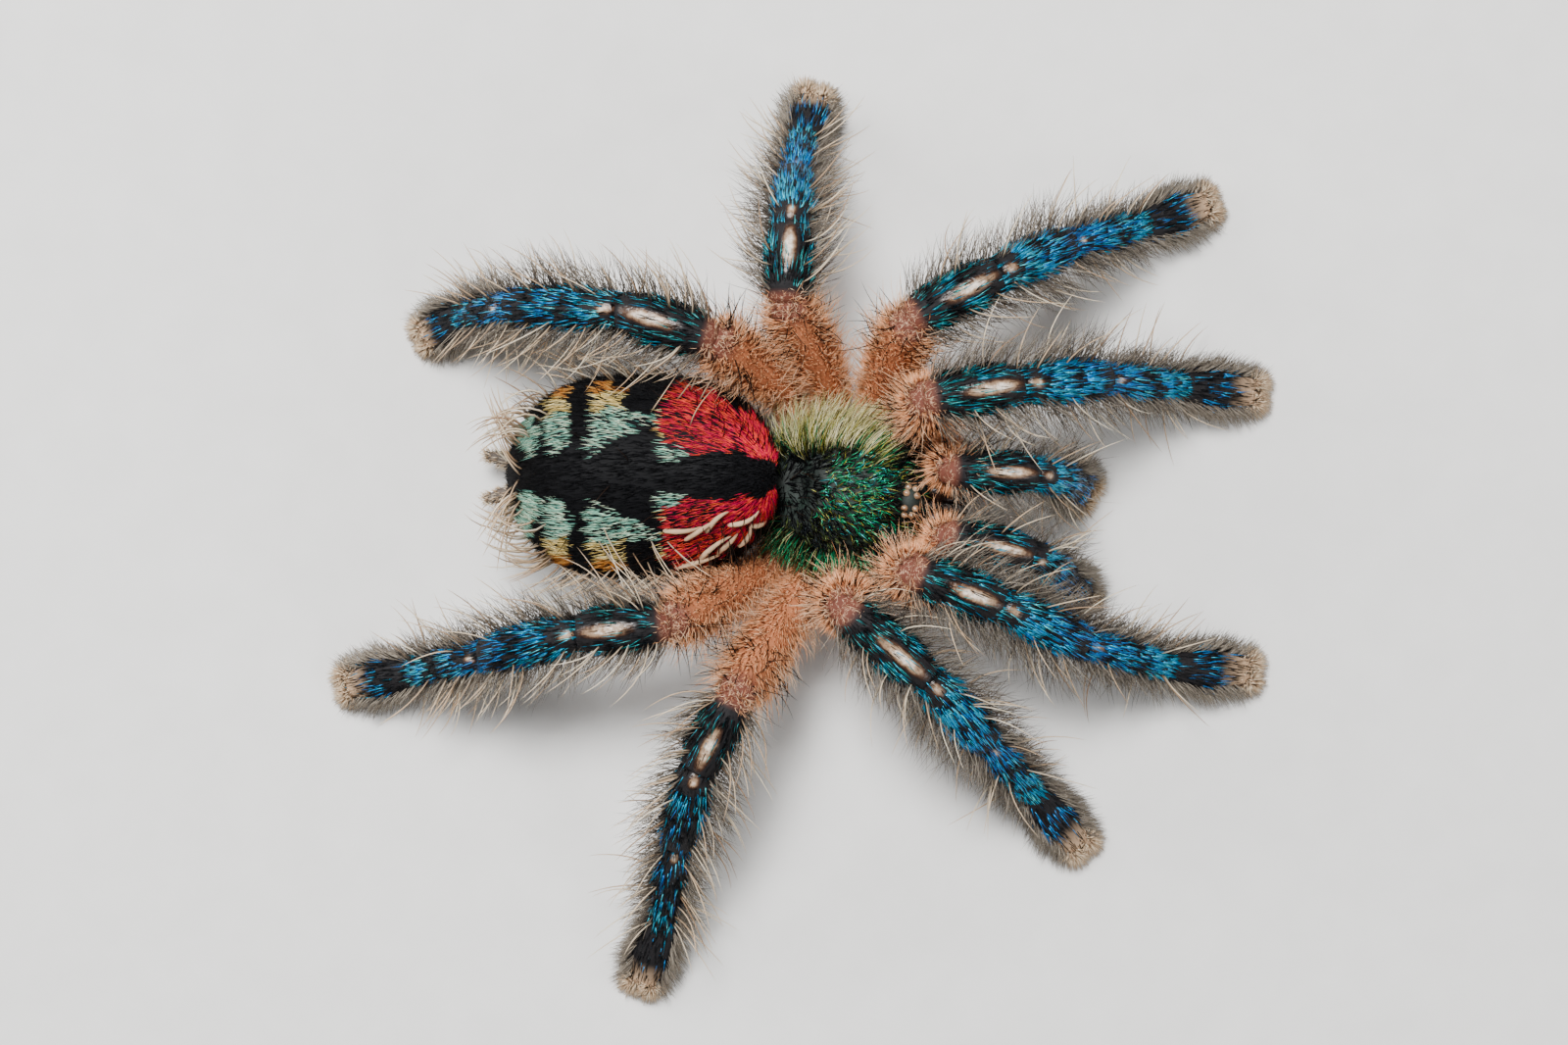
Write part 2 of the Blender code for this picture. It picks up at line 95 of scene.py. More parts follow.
# The limbs, as in the solids.
HIPS = {
    "palp": (3.0, 1.35, 28.0),
    "1": (2.0, 2.1, 45.0),
    "2": (0.65, 2.4, 78.0),
    "3": (-0.75, 2.4, 98.0),
    "4": (-2.1, 2.3, 118.0),
}
HIP_REACHES = (0.0, 1.6, 2.4)
HIP_HEIGHTS = (3.3, 3.6, 4.1)
LIMB_JOINTS = {
    "leg_left_1": (
        (6.6, 5.7, 9.6), (11.0, 6.4, 9.1), (15.0, 6.7, 6.2), (18.8, 6.5, 2.1), (22.3, 6.2, 0.5),
    ),
    "leg_left_2": (
        (5.9, 9.4, 8.8), (9.9, 11.5, 8.4), (13.3, 13.0, 5.4), (17.0, 14.1, 2.0), (20.0, 15.1, 0.5),
    ),
    "leg_left_3": (
        (0.1, 10.3, 9.0), (0.3, 13.7, 8.6), (0.5, 16.2, 5.3), (0.9, 18.2, 2.1), (1.4, 20.1, 0.5),
    ),
    "leg_left_4": (
        (-3.3, 8.5, 9.2), (-7.6, 9.8, 8.9), (-12.9, 10.1, 6.0), (-15.2, 9.8, 2.1), (-16.9, 9.0, 0.5),
    ),
    "leg_right_1": (
        (6.0, -2.3, 9.6), (10.0, -3.8, 9.1), (13.9, -5.6, 6.3), (18.2, -6.8, 2.1), (22.0, -7.1, 0.5),
    ),
    "leg_right_2": (
        (2.8, -4.0, 9.5), (6.6, -7.2, 8.9), (9.4, -10.2, 5.8), (11.8, -12.8, 2.0), (14.0, -15.3, 0.5),
    ),
    "leg_right_3": (
        (-2.3, -8.1, 8.5), (-4.0, -11.4, 7.9), (-5.0, -15.0, 5.3), (-5.8, -19.0, 2.0), (-6.7, -21.8, 0.5),
    ),
    "leg_right_4": (
        (-5.4, -4.7, 8.8), (-9.5, -5.1, 8.4), (-14.0, -6.2, 6.0), (-17.6, -7.1, 2.1), (-20.6, -7.7, 0.5),
    ),
    "palp_left": (
        (7.7, 2.4, 7.8), (11.7, 2.3, 7.2), (13.4, 2.0, 4.0), (14.2, 1.5, 0.5),
    ),
    "palp_right": (
        (7.6, -0.6, 7.6), (11.5, -1.5, 7.0), (13.1, -2.6, 3.9), (14.1, -3.7, 0.5),
    ),
}
LEG_KINDS = ("coxa", "trochanter", "femur", "patella", "tibia", "metatarsus", "tarsus")
PALP_KINDS = ("coxa", "trochanter", "femur", "patella", "tibia", "tarsus")
LEG_RADII = (0.56, 0.72, 1.12, 1.15, 1.02, 0.82, 0.72)
PALP_RADII = (0.52, 0.62, 0.82, 0.98, 0.86, 0.72)
TARSUS_SPREAD = 1.5
BARRELS = {
    "coxa": ((0.0, 0.9), (1.0, 1.0)),
    "trochanter": ((0.0, 0.9), (1.0, 1.0)),
    "femur": ((0.0, 0.62), (0.3, 0.95), (0.78, 1.0), (1.0, 0.66)),
    "patella": ((0.0, 0.6), (0.2, 0.92), (0.7, 1.0), (1.0, 0.68)),
    "tibia": ((0.0, 0.72), (0.25, 1.0), (0.8, 0.97), (1.0, 0.7)),
    "metatarsus": ((0.0, 0.78), (0.4, 1.0), (1.0, 0.78)),
    "tarsus": ((0.0, 0.75), (0.5, 1.0), (1.0, 0.62)),
}
JOINT_OVERLAP = 0.3
CLAW_TUFT_RADIUS = 0.58
CLAW_TUFT_HEIGHT = 0.34
CLAW_TUFT_REACH = 0.2
CLAW_TUFT_SPLAY = 0.42

CHELICERA_ROUTE = ((3.95, 0.62, 3.6), (4.6, 0.64, 3.75), (5.5, 0.66, 3.3), (6.0, 0.66, 2.7))
CHELICERA_RADII = (0.38, 0.54, 0.51, 0.32)
FANG_ROUTE = ((5.9, 0.66, 2.75), (6.0, 0.66, 2.1), (5.6, 0.66, 1.6), (5.0, 0.66, 1.3))
FANG_RADII = (0.2, 0.17, 0.11, 0.03)
SPINNERET_ROUTE = ((0.35, 0.6, -2.3), (-0.1, 0.75, -2.6), (-0.7, 0.9, -2.8), (-1.4, 1.05, -2.9))
SPINNERET_RADII = (0.46, 0.42, 0.34, 0.16)

ROW_STOPS = (0.12, 0.5, 0.88)  # where the three colours of a row stand in it
ROW_START = 0.15  # where a row's darkest hairs stand in it
ROW_REACH = 0.7  # how far the lightest stand from there
# Hair colours in rows: painted shade, dark at the root, lies over them; each hair picks a place in its row.
MATTE_ROWS = {
    "black": ((0.001, 0.001, 0.0015), (0.0022, 0.0022, 0.003), (0.008, 0.008, 0.01)),
    "red": ((0.34, 0.0, 0.07), (0.68, 0.002, 0.05), (0.98, 0.11, 0.03)),
    "mint": ((0.06, 0.28, 0.24), (0.38, 0.76, 0.56), (1.0, 1.0, 0.74)),
    "cream": ((0.5, 0.33, 0.08), (0.92, 0.68, 0.22), (1.0, 0.9, 0.5)),
    "orange": ((0.22, 0.06, 0.01), (0.68, 0.24, 0.04), (0.9, 0.48, 0.12)),
    "peach": ((0.46, 0.14, 0.05), (0.9, 0.4, 0.18), (1.0, 0.72, 0.48)),
    "beige": ((0.34, 0.2, 0.11), (0.7, 0.5, 0.32), (0.96, 0.84, 0.64)),
    "grey": ((0.05, 0.04, 0.034), (0.19, 0.16, 0.13), (0.5, 0.43, 0.34)),
    "brown": ((0.003, 0.002, 0.002), (0.012, 0.007, 0.005), (0.06, 0.03, 0.018)),
    "meadow": ((0.26, 0.26, 0.08), (0.66, 0.62, 0.28), (0.96, 0.9, 0.62)),
}
SHEEN_ROWS = {
    "green": ((0.002, 0.1, 0.04), (0.004, 0.5, 0.2), (0.08, 1.0, 0.5)),
    "gold": ((0.12, 0.11, 0.01), (0.42, 0.38, 0.05), (0.75, 0.75, 0.2)),
    "teal": ((0.0, 0.14, 0.15), (0.0, 0.55, 0.58), (0.2, 0.98, 0.94)),
    "cyan": ((0.0, 0.2, 0.42), (0.0, 0.62, 1.0), (0.14, 0.98, 1.0)),
    "blue": ((0.0, 0.1, 0.45), (0.0, 0.36, 1.0), (0.04, 0.68, 1.0)),
    "ink": ((0.001, 0.001, 0.002), (0.003, 0.004, 0.006), (0.01, 0.016, 0.02)),
    "olive": ((0.012, 0.016, 0.006), (0.05, 0.07, 0.02), (0.16, 0.22, 0.07)),
}

# Where the top of a segment is nearly bare: from, to, as shares of its length, and half its angle.
BARE_PLATES = {
    "patella": (0.3, 0.98, 25.0),
    "tibia": (0.02, 0.17, 10.0),
    "metatarsus": (0.02, 0.17, 13.0),
}
BARE_PLATE_HAIR = 0.2  # share of the hair that is left there
# A painted highlight on that bare glossy top, the light's reflection: from, to, and how bright it is.
PAINTED_HIGHLIGHTS = {"patella": (0.3, 0.98, 1.0), "tibia": (0.0, 0.19, 0.8), "metatarsus": (0.0, 0.19, 1.0)}
# How much of the flat hair shines, along each segment.
SHINE = {
    "patella": ((0.0, 0.0), (0.07, 0.3), (0.4, 0.42), (1.0, 0.55)),
    "tibia": ((0.0, 0.85), (0.15, 1.0), (0.5, 0.95), (0.7, 0.45), (1.0, 0.95)),
    "metatarsus": ((0.0, 0.95), (0.3, 0.85), (0.52, 0.2), (0.72, 1.2), (1.0, 1.1)),
    "tarsus": ((0.0, 0.25), (0.2, 0.05), (0.4, 0.55), (0.6, 0.35), (0.8, 0.04), (1.0, 0.0)),
}
SHINE_COLOURS = {
    "patella": ("teal", "cyan"),
    "tibia": ("cyan", "blue"),
    "metatarsus": ("blue", "cyan"),
    "tarsus": ("blue", "blue"),
}
# How much of that shine each limb has.
LIMB_SHINE = {
    "leg_right_3": 0.4, "leg_left_4": 0.5, "leg_right_4": 0.5, "palp_left": 0.85, "palp_right": 0.85,
}
FLAT_HAIR_DENSITY = 62.0  # hairs a square millimetre
SHINING_LIFT = 0.02  # how much higher the shining hair lies
FLAT_HAIR_WIDTHS = {
    "patella": (0.04, 0.075), "tibia": (0.06, 0.11), "metatarsus": (0.06, 0.11), "tarsus": (0.05, 0.09),
}
FRINGE_DENSITY = 76.0  # hairs a millimetre of length
FRINGE_LENGTHS = {"patella": (1.3, 2.4), "tibia": (1.5, 2.8), "metatarsus": (1.1, 2.1)}

# Coats of hair on a limb. shades: middle and spread; shares and angles: where it grows; rise: how much of
# the slope of the skin it keeps; along, turn: how far it leans and bends to the toe, against 1 outwards;
# droop: what it loses outwards by the tip; unrest: scatter of the lean and of the bend.
Coat = namedtuple("Coat", "row shades shares angles rise along turn droop unrest lengths width steps")
COATS = {
    "underfur": Coat(
        "peach", (0.48, 0.18), (-0.06, 0.92), (0.0, 180.0), 1.0,
        (0.6, 0.9), (0.3, 0.6), 0.3, (0.1, 0.1), (0.6, 1.1), 0.05, 1,
    ),
    "guard_hair": Coat(
        "peach", (0.8, 0.2), (0.0, 0.95), (20.0, 150.0), 0.8,
        (0.3, 0.8), (0.2, 1.0), 0.2, (0.15, 0.3), (1.2, 2.2), 0.04, 3,
    ),
    "knee_bristles": Coat(
        "brown", (0.35, 0.25), (0.6, 1.0), (5.0, 130.0), 0.9,
        (0.0, 0.3), (0.4, 1.0), 0.0, (0.35, 0.8), (1.2, 2.4), 0.06, 6,
    ),
    "knee_down": Coat(
        "peach", (0.75, 0.25), (0.9, 1.1), (0.0, 150.0), 1.0,
        (0.5, 0.9), (0.0, 0.4), 0.0, (0.5, 0.8), (0.3, 0.75), 0.045, 2,
    ),
    "fringe": Coat(
        "grey", (0.5, 0.3), (0.0, 1.0), (45.0, 130.0), 0.4,
        (0.2, 0.8), (0.5, 0.7), 0.0, (0.16, 0.35), (1.5, 2.8), 0.045, 3,
    ),
    "bristles": Coat(
        "beige", (0.62, 0.28), (0.05, 0.95), (40.0, 115.0), 0.6,
        (0.0, 0.5), (0.6, 2.0), 0.0, (0.16, 0.3), (2.0, 3.8), 0.1, 7,
    ),
    "brush": Coat(
        "grey", (0.8, 0.25), (0.0, 1.0), (75.0, 150.0), 0.4,
        (0.5, 0.8), (0.3, 0.5), 0.0, (0.18, 0.1), (0.7, 1.4), 0.06, 1,
    ),
}
# Hairs on one segment, and on one pad of a claw tuft.
FEMUR_HAIRS = {"underfur": 2300, "guard_hair": 400, "knee_bristles": 60, "knee_down": 150}
PATELLA_DOWN = 45
CLAW_TUFT_HAIRS = 420
# Hairs a millimetre of length: on a hip, on each segment with a brush, and bristles by the leg's number.
HIP_HAIRS = 430
BRUSH_HAIRS = {"metatarsus": 110, "tarsus": 260}
BRISTLES = {"1": 3.0, "2": 3.0, "3": 7.0, "4": 7.0}
PALP_BRISTLES = 3.0
PALP_HAIR = 0.55  # how much of a leg's fur and fringe a palp has

ABDOMEN_HAIRS = 38000
ABDOMEN_HAIR_LENGTHS = (0.4, 0.8)
ABDOMEN_HAIR_WIDTH = 0.062
CARAPACE_HAIRS = 5400
CARAPACE_HAIR_LENGTHS = (0.5, 0.9)
CARAPACE_HAIR_WIDTHS = (0.05, 0.09)
RIM_HAIRS = 2900
RIM_HAIR_WIDTH = 0.048
DOME_BRISTLES = 90
SMALL_PIECE_HAIRS = 420

# Long hair of the abdomen: count, shares of its length, angles, lengths, width, colour, then how it leans
# and how it turns on its way to the tip, each as forwards, away from the middle line, and up.
ABDOMEN_BRISTLES = (
    (64, (0.1, 0.6), (66.0, 108.0), (2.0, 3.4), 0.12, "beige", (-0.7, 1.0, 0.35), (-1.5, -0.2, 0.1)),
    (110, (0.06, 0.7), (74.0, 118.0), (1.0, 1.9), 0.06, "grey", (-0.7, 1.0, 0.2), (-0.9, 0.0, 0.1)),
    (14, (0.3, 0.75), (30.0, 70.0), (2.0, 3.2), 0.09, "beige", (0.4, 1.0, 0.5), (0.9, 0.4, -0.3)),
    (60, (0.02, 0.16), (35.0, 125.0), (2.0, 3.2), 0.13, "beige", (-1.0, 0.9, 0.3), (-0.6, -1.8, 0.1)),
    (34, (0.01, 0.05), (0.0, 180.0), (1.8, 3.2), 0.13, "beige", (-1.1, 0.6, 0.4), (0.5, 1.5, 0.2)),
    (110, (0.7, 0.98), (25.0, 90.0), (1.1, 2.1), 0.06, "brown", (0.5, 0.9, 0.8), (-0.9, 0.5, 0.3)),
    (40, (0.2, 0.9), (5.0, 60.0), (0.9, 1.7), 0.05, "brown", (-0.6, 0.5, 0.7), (-0.7, 0.2, 0.1)),
)

# The thick hooked setae over the right red patch.
HOOKS = 9
HOOK_SHARES = (0.58, 0.9)
HOOK_ANGLES = (40.0, 62.0)
HOOK_RADII = (0.1, 0.13, 0.1, 0.04)
HOOK_LIFT = 0.4
# From the rearmost to the foremost: length, heading from forwards to the left, and how far it curls.
HOOK_LENGTHS = ((0.0, 0.4, 1.0), (2.4, 2.0, 1.4))
HOOK_HEADINGS = ((0.0, 0.5, 1.0), (15.0, 60.0, -20.0))
HOOK_CURLS = ((0.0, 0.5, 0.75, 1.0), (30.0, -40.0, 70.0, 140.0))

# The marks of the abdomen: colour, corners as (share of the length from the rear, distance from the
# middle line as a share of the greatest half width). They are the same on both sides.
MARKS = (
    ("cream", ((0.585, 0.3), (0.58, 0.55), (0.585, 0.8), (0.61, 0.8), (0.6, 0.3))),
    ("red", (
        (0.605, 0.3), (0.59, 0.53), (0.595, 0.78), (0.65, 0.91), (0.73, 0.89), (0.81, 0.75), (0.9, 0.6),
        (0.95, 0.46), (0.985, 0.3), (0.978, 0.17), (0.87, 0.23), (0.79, 0.24), (0.7, 0.2), (0.63, 0.25),
    )),
    ("mint", (
        (0.57, 0.2), (0.575, 0.38), (0.6, 0.34), (0.64, 0.25), (0.68, 0.2), (0.65, 0.16), (0.6, 0.16),
    )),
    ("mint", (
        (0.335, 0.19), (0.37, 0.28), (0.43, 0.35), (0.51, 0.46), (0.575, 0.53), (0.578, 0.63), (0.52, 0.61),
        (0.475, 0.63), (0.455, 0.7), (0.46, 0.86), (0.4, 0.95), (0.35, 0.9), (0.33, 0.7), (0.325, 0.45),
    )),
    ("mint", (
        (0.2, 0.19), (0.235, 0.25), (0.255, 0.4), (0.26, 0.6), (0.255, 0.86), (0.21, 0.9), (0.18, 0.7),
        (0.165, 0.5), (0.165, 0.3),
    )),
    ("mint", (
        (0.115, 0.14), (0.143, 0.22), (0.138, 0.4), (0.115, 0.55), (0.07, 0.6), (0.045, 0.5), (0.055, 0.32),
        (0.08, 0.2),
    )),
)
MINT_EDGES = (("cream", 0.66), ("orange", 0.83))  # where the outer parts of a mint mark begin

# Hard shells: three shades, the range of roughness, the scale of the mottling, and the clear coat.
PLAIN_SHELLS = {
    "carapace_shell": (
        ((0.001, 0.004, 0.002), (0.002, 0.008, 0.005), (0.004, 0.02, 0.012)), (0.6, 0.8), 900.0, 0.0,
    ),
    "eye_lens": (
        ((0.1, 0.045, 0.02), (0.3, 0.17, 0.09), (0.55, 0.4, 0.26)), (0.05, 0.12), 2500.0, 1.0,
    ),
    "jaw_shell": (
        ((0.012, 0.006, 0.005), (0.03, 0.014, 0.01), (0.06, 0.03, 0.02)), (0.25, 0.4), 900.0, 0.2,
    ),
    "fang_shell": (
        ((0.004, 0.003, 0.003), (0.012, 0.006, 0.005), (0.03, 0.01, 0.007)), (0.08, 0.2), 900.0, 0.6,
    ),
    "spinneret_skin": (
        ((0.03, 0.022, 0.018), (0.07, 0.055, 0.045), (0.14, 0.11, 0.09)), (0.6, 0.8), 900.0, 0.0,
    ),
}

# Soft lights: name, place and size in metres, and power in watts.
LIGHTS = (
    ("key", (-0.06, 0.12, 0.34), 0.11, 2.7),
    ("fill", (0.3, -0.2, 0.22), 0.2, 0.7),
    ("rim", (-0.28, 0.12, 0.14), 0.16, 0.7),
)
FLOOR_HALF = 0.6

Segment = namedtuple("Segment", "kind index start end along across upward radius spread")


def unit(vectors):
    return vectors / np.maximum(np.linalg.norm(vectors, axis=-1, keepdims=True), 1e-9)


def from_table(points):
    return np.asarray(points, float) - OUTLINE_MIDDLE


def on_front_body(points):
    """Places given along, across and above the floor for the front body, in the tables' frame."""
    return turned_with_front_body(np.asarray(points, float)) + FRONT_BODY_CENTRE * [1.0, 1.0, 0.0]


def front_body_place(points):
    return from_table(on_front_body(points))


def turned_with_front_body(vectors):
    cos, sin = math.cos(FRONT_BODY_YAW), math.sin(FRONT_BODY_YAW)
    x = vectors[..., 0] * cos - vectors[..., 1] * sin
    y = vectors[..., 0] * sin + vectors[..., 1] * cos
    return np.stack([x, y, vectors[..., 2]], axis=-1)


def add_object(name, data):
    thing = bpy.data.objects.new(name, data)
    bpy.context.scene.collection.objects.link(thing)
    return thing


class Build:
    """Gathers points and faces, and makes one object of them."""

    def __init__(self, name):
        self.name = name
        self.parts = []
        self.count = 0

    def add(self, points, loops, sizes, coords, slot=0):
        self.parts.append((points, loops + self.count, sizes, coords, np.full(len(sizes), slot)))
        self.count += len(points)

    def add_grid(self, grid, lengthwise, slot=0, tones=None):
        """A closed skin through rings of points, its ends filled. tones gives each face its own colour."""
        rows, columns = grid.shape[:2]
        row, column = np.meshgrid(np.arange(rows - 1), np.arange(columns), indexing="ij")
        row, column = row.ravel(), column.ravel()
        after = (column + 1) % columns
        low, high = row * columns, (row + 1) * columns
        quads = np.stack([low + column, low + after, high + after, high + column], axis=1)
        here, there = column / columns, (column + 1) / columns
        near, far = lengthwise[row], lengthwise[row + 1]
        coords = np.stack([near, here, near, there, far, there, far, here], axis=1).reshape(-1, 2)
        if tones is not None:
            coords = np.stack([np.full(len(quads) * 4, 0.45), np.repeat(tones, 4)], axis=1)
        ring = np.arange(columns)
        ends = np.concatenate([ring[::-1], ring + (rows - 1) * columns])
        around = np.concatenate([ring[::-1], ring]) / columns
        along = np.repeat([lengthwise[0], lengthwise[-1]], columns)
        loops = np.concatenate([quads.ravel(), ends])
        sizes = np.concatenate([np.full(len(quads), 4), [columns, columns]])
        coords = np.concatenate([coords, np.stack([along, around], axis=1)])
        self.add(grid.reshape(-1, 3), loops, sizes, coords, slot)

    def add_hairs(self, roots, ways, bends, lengths, widths, tones, steps, flat=1.0, slot=0):
        """Tapering three-sided hairs that set out along ways and turn by bends on their way to the tip."""
        count = len(roots)
        ways = unit(ways)
        lengths = np.broadcast_to(lengths, (count,))[:, None]
        radii = np.broadcast_to(widths, (count,))[:, None] / 2.0
        point = np.array(roots, float)
        rings = []
        for step in range(steps):
            share = step / steps
            way = unit(ways + bends * share)
            side = unit(np.cross(way, UP + 0.01))
            top = np.cross(side, way)
            radius = radii * (1.0 - share) ** 0.6
            for corner in range(3):
                angle = 2.0 * math.pi * corner / 3.0 + math.pi / 2.0
                offset = side * math.cos(angle) + top * math.sin(angle) * flat
                rings.append(point + offset * radius)
            point = point + unit(ways + bends * (share + 0.5 / steps)) * lengths / steps
        rings.append(point)
        points = np.stack(rings, axis=1)
        points[:, :, 2] = np.maximum(points[:, :, 2], LEAST_HEIGHT)
        loops, sizes = hair_pattern(steps)
        corners = points.shape[1]
        loops = (loops[None, :] + np.arange(count)[:, None] * corners).ravel()
        along = np.append(np.repeat(np.arange(steps) / steps, 3), 1.0)
        across = np.repeat(np.broadcast_to(tones, (count,)), corners)
        coords = np.stack([np.tile(along, count), across], axis=1)
        self.add(points.reshape(-1, 3), loops, np.tile(sizes, count), coords[loops], slot)

    def finish(self, materials, slot, replaces=()):
        mesh = bpy.data.meshes.new(self.name)
        points, loops, sizes, coords, numbers = (np.concatenate(rows) for rows in zip(*self.parts))
        mesh.vertices.add(len(points))
        mesh.vertices.foreach_set("co", (points * MM).astype(np.float32).ravel())
        mesh.loops.add(len(loops))
        mesh.loops.foreach_set("vertex_index", loops.astype(np.int32))
        mesh.polygons.add(len(sizes))
        mesh.polygons.foreach_set("loop_start", (np.cumsum(sizes) - sizes).astype(np.int32))
        mesh.polygons.foreach_set("material_index", numbers.astype(np.int32))
        for map_name in ("tone", "OFBake"):
            layer = mesh.uv_layers.new(name=map_name)
            layer.uv.foreach_set("vector", coords.astype(np.float32).ravel())
        mesh.update(calc_edges=True)
        mesh.shade_smooth()
        for material in materials:
            mesh.materials.append(material)
        piece = add_object(self.name, mesh)
        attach(piece, "root")
        if replaces:
            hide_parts(*replaces)
        return piece


def hair_pattern(steps):
    """Corner numbers and face sizes of one hair with three corners a ring and a pointed tip."""
    loops, sizes = [2, 1, 0], [3]
    for ring in range(steps - 1):
        for corner in range(3):
            after = (corner + 1) % 3
            low, high = 3 * ring, 3 * ring + 3
            loops += [low + corner, low + after, high + after, high + corner]
            sizes.append(4)
    low, tip = 3 * (steps - 1), 3 * steps
    for corner in range(3):
        loops += [low + corner, low + (corner + 1) % 3, tip]
        sizes.append(3)
    return np.array(loops), np.array(sizes)


def tone(rows, row, shade):
    """The second coordinate of a hair: its row of colours, and a place from dark, 0, to light, 1."""
    index = list(rows).index(row)
    return (index + ROW_START + ROW_REACH * np.clip(shade, 0.0, 1.0)) / len(rows)


def matte(row, shade):
    return tone(MATTE_ROWS, row, shade)


def sheen(row, shade):
    return tone(SHEEN_ROWS, row, shade)


class Nodes:
    """Short calls for building a material's nodes."""

    def __init__(self, name):
        self.material = bpy.data.materials.new(name)
        self.material.use_nodes = True
        self.tree = self.material.node_tree
        self.shader = self.tree.nodes["Principled BSDF"]

    def put(self, socket, value):
        """Sets a socket, or feeds it from another node."""
        if isinstance(value, bpy.types.NodeSocket):
            self.tree.links.new(value, socket)
        elif socket.type == "RGBA":
            socket.default_value = (*value, 1.0)
        else:
            socket.default_value = value

    def add(self, kind, output, inputs, **settings):
        """Adds a node and gives one of its outputs."""
        node = self.tree.nodes.new(kind)
        for name, value in settings.items():
            setattr(node, name, value)
        for name, value in inputs.items():
            self.put(node.inputs[name], value)
        return node.outputs[output]

    def finish(self, sockets):
        """Sets or feeds the shader's sockets, and gives the material."""
        for name, value in sockets.items():
            self.put(self.shader.inputs[name], value)
        return self.material

    def map_axes(self):
        """The map named tone, and its two coordinates."""
        source = self.add("ShaderNodeUVMap", "UV", {}, uv_map="tone")
        first = self.add("ShaderNodeSeparateXYZ", "X", {"Vector": source})
        return source, first, first.node.outputs["Y"]

    def stretched(self, vector, scale):
        return self.add("ShaderNodeMapping", "Vector", {"Vector": vector, "Scale": scale})

    def place(self, scale=(1.0, 1.0, 1.0)):
        """Places on the object, in metres times a scale."""
        return self.stretched(self.add("ShaderNodeTexCoord", "Object", {}), scale)

    def noise(self, vector, scale, detail=3.0, roughness=0.55):
        inputs = {"Vector": vector, "Scale": scale, "Detail": detail, "Roughness": roughness}
        return self.add("ShaderNodeTexNoise", "Fac", inputs)

    def ramp(self, value, stops):
        """Colours or grey levels, each at its place from 0 to 1."""
        output = self.add("ShaderNodeValToRGB", "Color", {"Fac": value})
        elements = output.node.color_ramp.elements
        while len(elements) > 1:
            elements.remove(elements[-1])
        for number, (position, colour) in enumerate(stops):
            element = elements[0] if number == 0 else elements.new(position)
            element.position = position
            element.color = (*colour, 1.0) if isinstance(colour, tuple) else (colour, colour, colour, 1.0)
        return output

    def mix(self, factor, first, second, blend="MIX"):
        inputs = {0: factor, 6: first, 7: second}
        return self.add("ShaderNodeMix", 2, inputs, data_type="RGBA", blend_type=blend)

    def spread(self, value, low, high):
        """Turns 0 to 1 into low to high."""
        return self.add("ShaderNodeMapRange", "Result", {"Value": value, "To Min": low, "To Max": high})

    def bump(self, height, strength, distance):
        inputs = {"Height": height, "Strength": strength, "Distance": distance}
        return self.add("ShaderNodeBump", "Normal", inputs)


def hair_material(name, rows, painted_root_shade, roughness, metallic, specular):
    """Colours by row, with painted shade darkening each hair towards its root, and fine streaks along it."""
    nodes = Nodes(name)
    vector, along, across = nodes.map_axes()
    stops = []
    for index, colours in enumerate(rows.values()):
        places = [(index + share) / len(rows) for share in ROW_STOPS]
        stops += list(zip(places, colours))
    colour = nodes.ramp(across, stops)
    # painted shade: the colour is darkened towards each hair's root
    shade = nodes.ramp(along, painted_root_shade)
    streaks = nodes.noise(nodes.stretched(vector, (3.0, 400.0, 1.0)), 2.0)
    shaded = nodes.mix(1.0, colour, shade, "MULTIPLY")
    streaked = nodes.mix(0.35, shaded, nodes.ramp(streaks, ((0.3, 0.45), (0.7, 1.0))), "MULTIPLY")
    return nodes.finish({
        "Base Color": streaked,
        "Roughness": nodes.spread(streaks, *roughness),
        "Metallic": metallic,
        "Specular IOR Level": specular,
    })


def limb_segments(name):
    side = 1.0 if "left" in name else -1.0
    is_palp = name.startswith("palp")
    forwards, sideways, heading = HIPS["palp" if is_palp else name[-1]]
    heading = math.radians(heading)
    reaches = np.array(HIP_REACHES)
    x = forwards + math.cos(heading) * reaches
    y = side * (sideways + math.sin(heading) * reaches)
    hips = on_front_body(np.stack([x, y, np.array(HIP_HEIGHTS)], axis=1))
    joints = from_table(np.concatenate([hips, np.array(LIMB_JOINTS[name])]))
    kinds = PALP_KINDS if is_palp else LEG_KINDS
    radii = PALP_RADII if is_palp else LEG_RADII
    segments = []
    for kind, start, end, radius in zip(kinds, joints, joints[1:], radii):
        along = unit(end - start)
        across = unit(np.cross(along, UP))
        upward = np.cross(across, along)
        spread = TARSUS_SPREAD if kind == "tarsus" else 1.0
        index = LEG_KINDS.index(kind)
        segments.append(Segment(kind, index, start, end, along, across, upward, radius, spread))
    return segments


def barrel_radius(kind, share):
    """Radius along a segment as a share of its thickest, with the profile's corners rounded off."""
    places, swells = zip(*BARRELS[kind])
    spread = np.linspace(-0.06, 0.06, 7)
    around = np.clip(share[..., None] + spread, 0.0, 1.0)
    return np.interp(around, places, swells).mean(axis=-1)


def on_segment(segment, share, angle):
    """Places on a segment's skin and the ways that point out of it there."""
    angle = np.radians(angle)[..., None]
    radius = (segment.radius * barrel_radius(segment.kind, share))[..., None]
    middle = segment.start + (segment.end - segment.start) * share[..., None]
    across = segment.across * np.sin(angle)
    upward = segment.upward * np.cos(angle)
    return middle + (across * segment.spread + upward) * radius, unit(across / segment.spread + upward)


